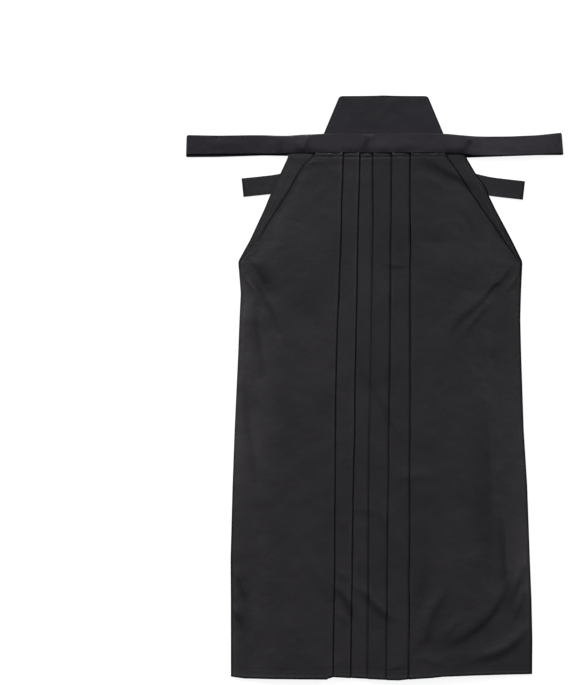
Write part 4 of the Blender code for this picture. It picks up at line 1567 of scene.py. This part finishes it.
# %% Stitches
HEM_STITCH = 4.0
BAND_STITCH = 1.6
TUCK_STITCH = 404.6
WEDGE_STITCH = 4.5
BOARD_STITCH = 5.4
BOARD_STITCH_LOW = 446.0
BACK_TIE_STITCH = -12.2


def hem_route(first, last):
    places = np.linspace(first, last, 60)
    return np.column_stack([places, hem_edge(places) + HEM_STITCH])


def side_route(side, first, last, inward):
    heights = np.linspace(first, last, 40)
    outer = read_along(OUTLINE_ROWS, side_name(side), heights, spread=4)
    return np.column_stack([outer - side * inward, heights])


def strip_route(first, last, shift):
    places = np.linspace(first, last, 80)
    return [(place, read_soft(STRIP_ROWS, "foot", place, "across") + shift) for place in places]


def board_route(inward):
    foot = BOARD_FOOT_WIDTH / 2
    top = BOARD_TOP_WIDTH / 2
    slope = (foot - top) / (BOARD_TOP - BOARD_FOOT)
    level = BOARD_TOP - inward
    corner = top + slope * inward - inward * 1.1
    wide = top + slope * (BOARD_TOP - BOARD_STITCH_LOW) - inward * 1.1
    return [(BOARD_MIDDLE - wide, BOARD_STITCH_LOW), (BOARD_MIDDLE - corner, level),
            (BOARD_MIDDLE + corner, level), (BOARD_MIDDLE + wide, BOARD_STITCH_LOW)]


def back_tie_route(rows, shift):
    centres = np.array([[row["x"], row["y"]] for row in rows[-4:]])
    steps = unit(np.gradient(centres, axis=0))
    side = 1.0 if centres[-1][0] > centres[0][0] else -1.0
    across = np.column_stack([-steps[:, 1], steps[:, 0]]) * side
    return centres + across * shift


CLOTHS = (right_front, left_front, right_back, left_back, front_band, right_back_tie,
          left_back_tie, back_board)
trees = {piece.name: surface_tree(piece) for piece in CLOTHS}
TUCK_RIGHT = [(-104, TUCK_STITCH), (-3, TUCK_STITCH)]
TUCK_LEFT = [(3, TUCK_STITCH), (121, TUCK_STITCH)]
HIP_RIGHT = [side_route(-1, 232, 398, WEDGE_STITCH), side_route(-1, 250, 398, WEDGE_STITCH + 5)]
HIP_LEFT = [side_route(1, 232, 398, WEDGE_STITCH), side_route(1, 250, 398, WEDGE_STITCH + 5)]
BAND_LINE = strip_route(-318, 318, BAND_STITCH + 0.6)
TIE_RIGHT = back_tie_route(RIGHT_BACK_TIE_ROWS, BACK_TIE_STITCH)
TIE_LEFT = back_tie_route(LEFT_BACK_TIE_ROWS, BACK_TIE_STITCH)
STITCH_LINES = table("name on thread below routes", [
    ("right_front_hem", right_front, dark_thread, False, [hem_route(-244, -3)]),
    ("left_front_hem", left_front, dark_thread, False, [hem_route(3, 268)]),
    ("right_back_hem", right_back, dark_thread, True, [hem_route(-244, -3)]),
    ("left_back_hem", left_back, dark_thread, True, [hem_route(3, 268)]),
    ("right_tuck", right_front, dark_thread, False, [TUCK_RIGHT]),
    ("left_tuck", left_front, dark_thread, False, [TUCK_LEFT]),
    ("right_hip", right_front, pale_thread, False, HIP_RIGHT),
    ("left_hip", left_front, pale_thread, False, HIP_LEFT),
    ("band", front_band, dark_thread, False, [BAND_LINE]),
    ("board", back_board, pale_thread, False, [board_route(BOARD_STITCH)]),
    ("board_under", back_board, dark_thread, True, [board_route(BOARD_STITCH)]),
    ("right_back_tie", right_back_tie, dark_thread, False, [TIE_RIGHT]),
    ("left_back_tie", left_back_tie, dark_thread, False, [TIE_LEFT]),
])
for line in STITCH_LINES:
    cloth = line["on"]
    lay_stitches(line["name"] + "_stitches", trees[cloth.name], line["routes"], line["thread"],
                 cloth["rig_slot"], line["below"])
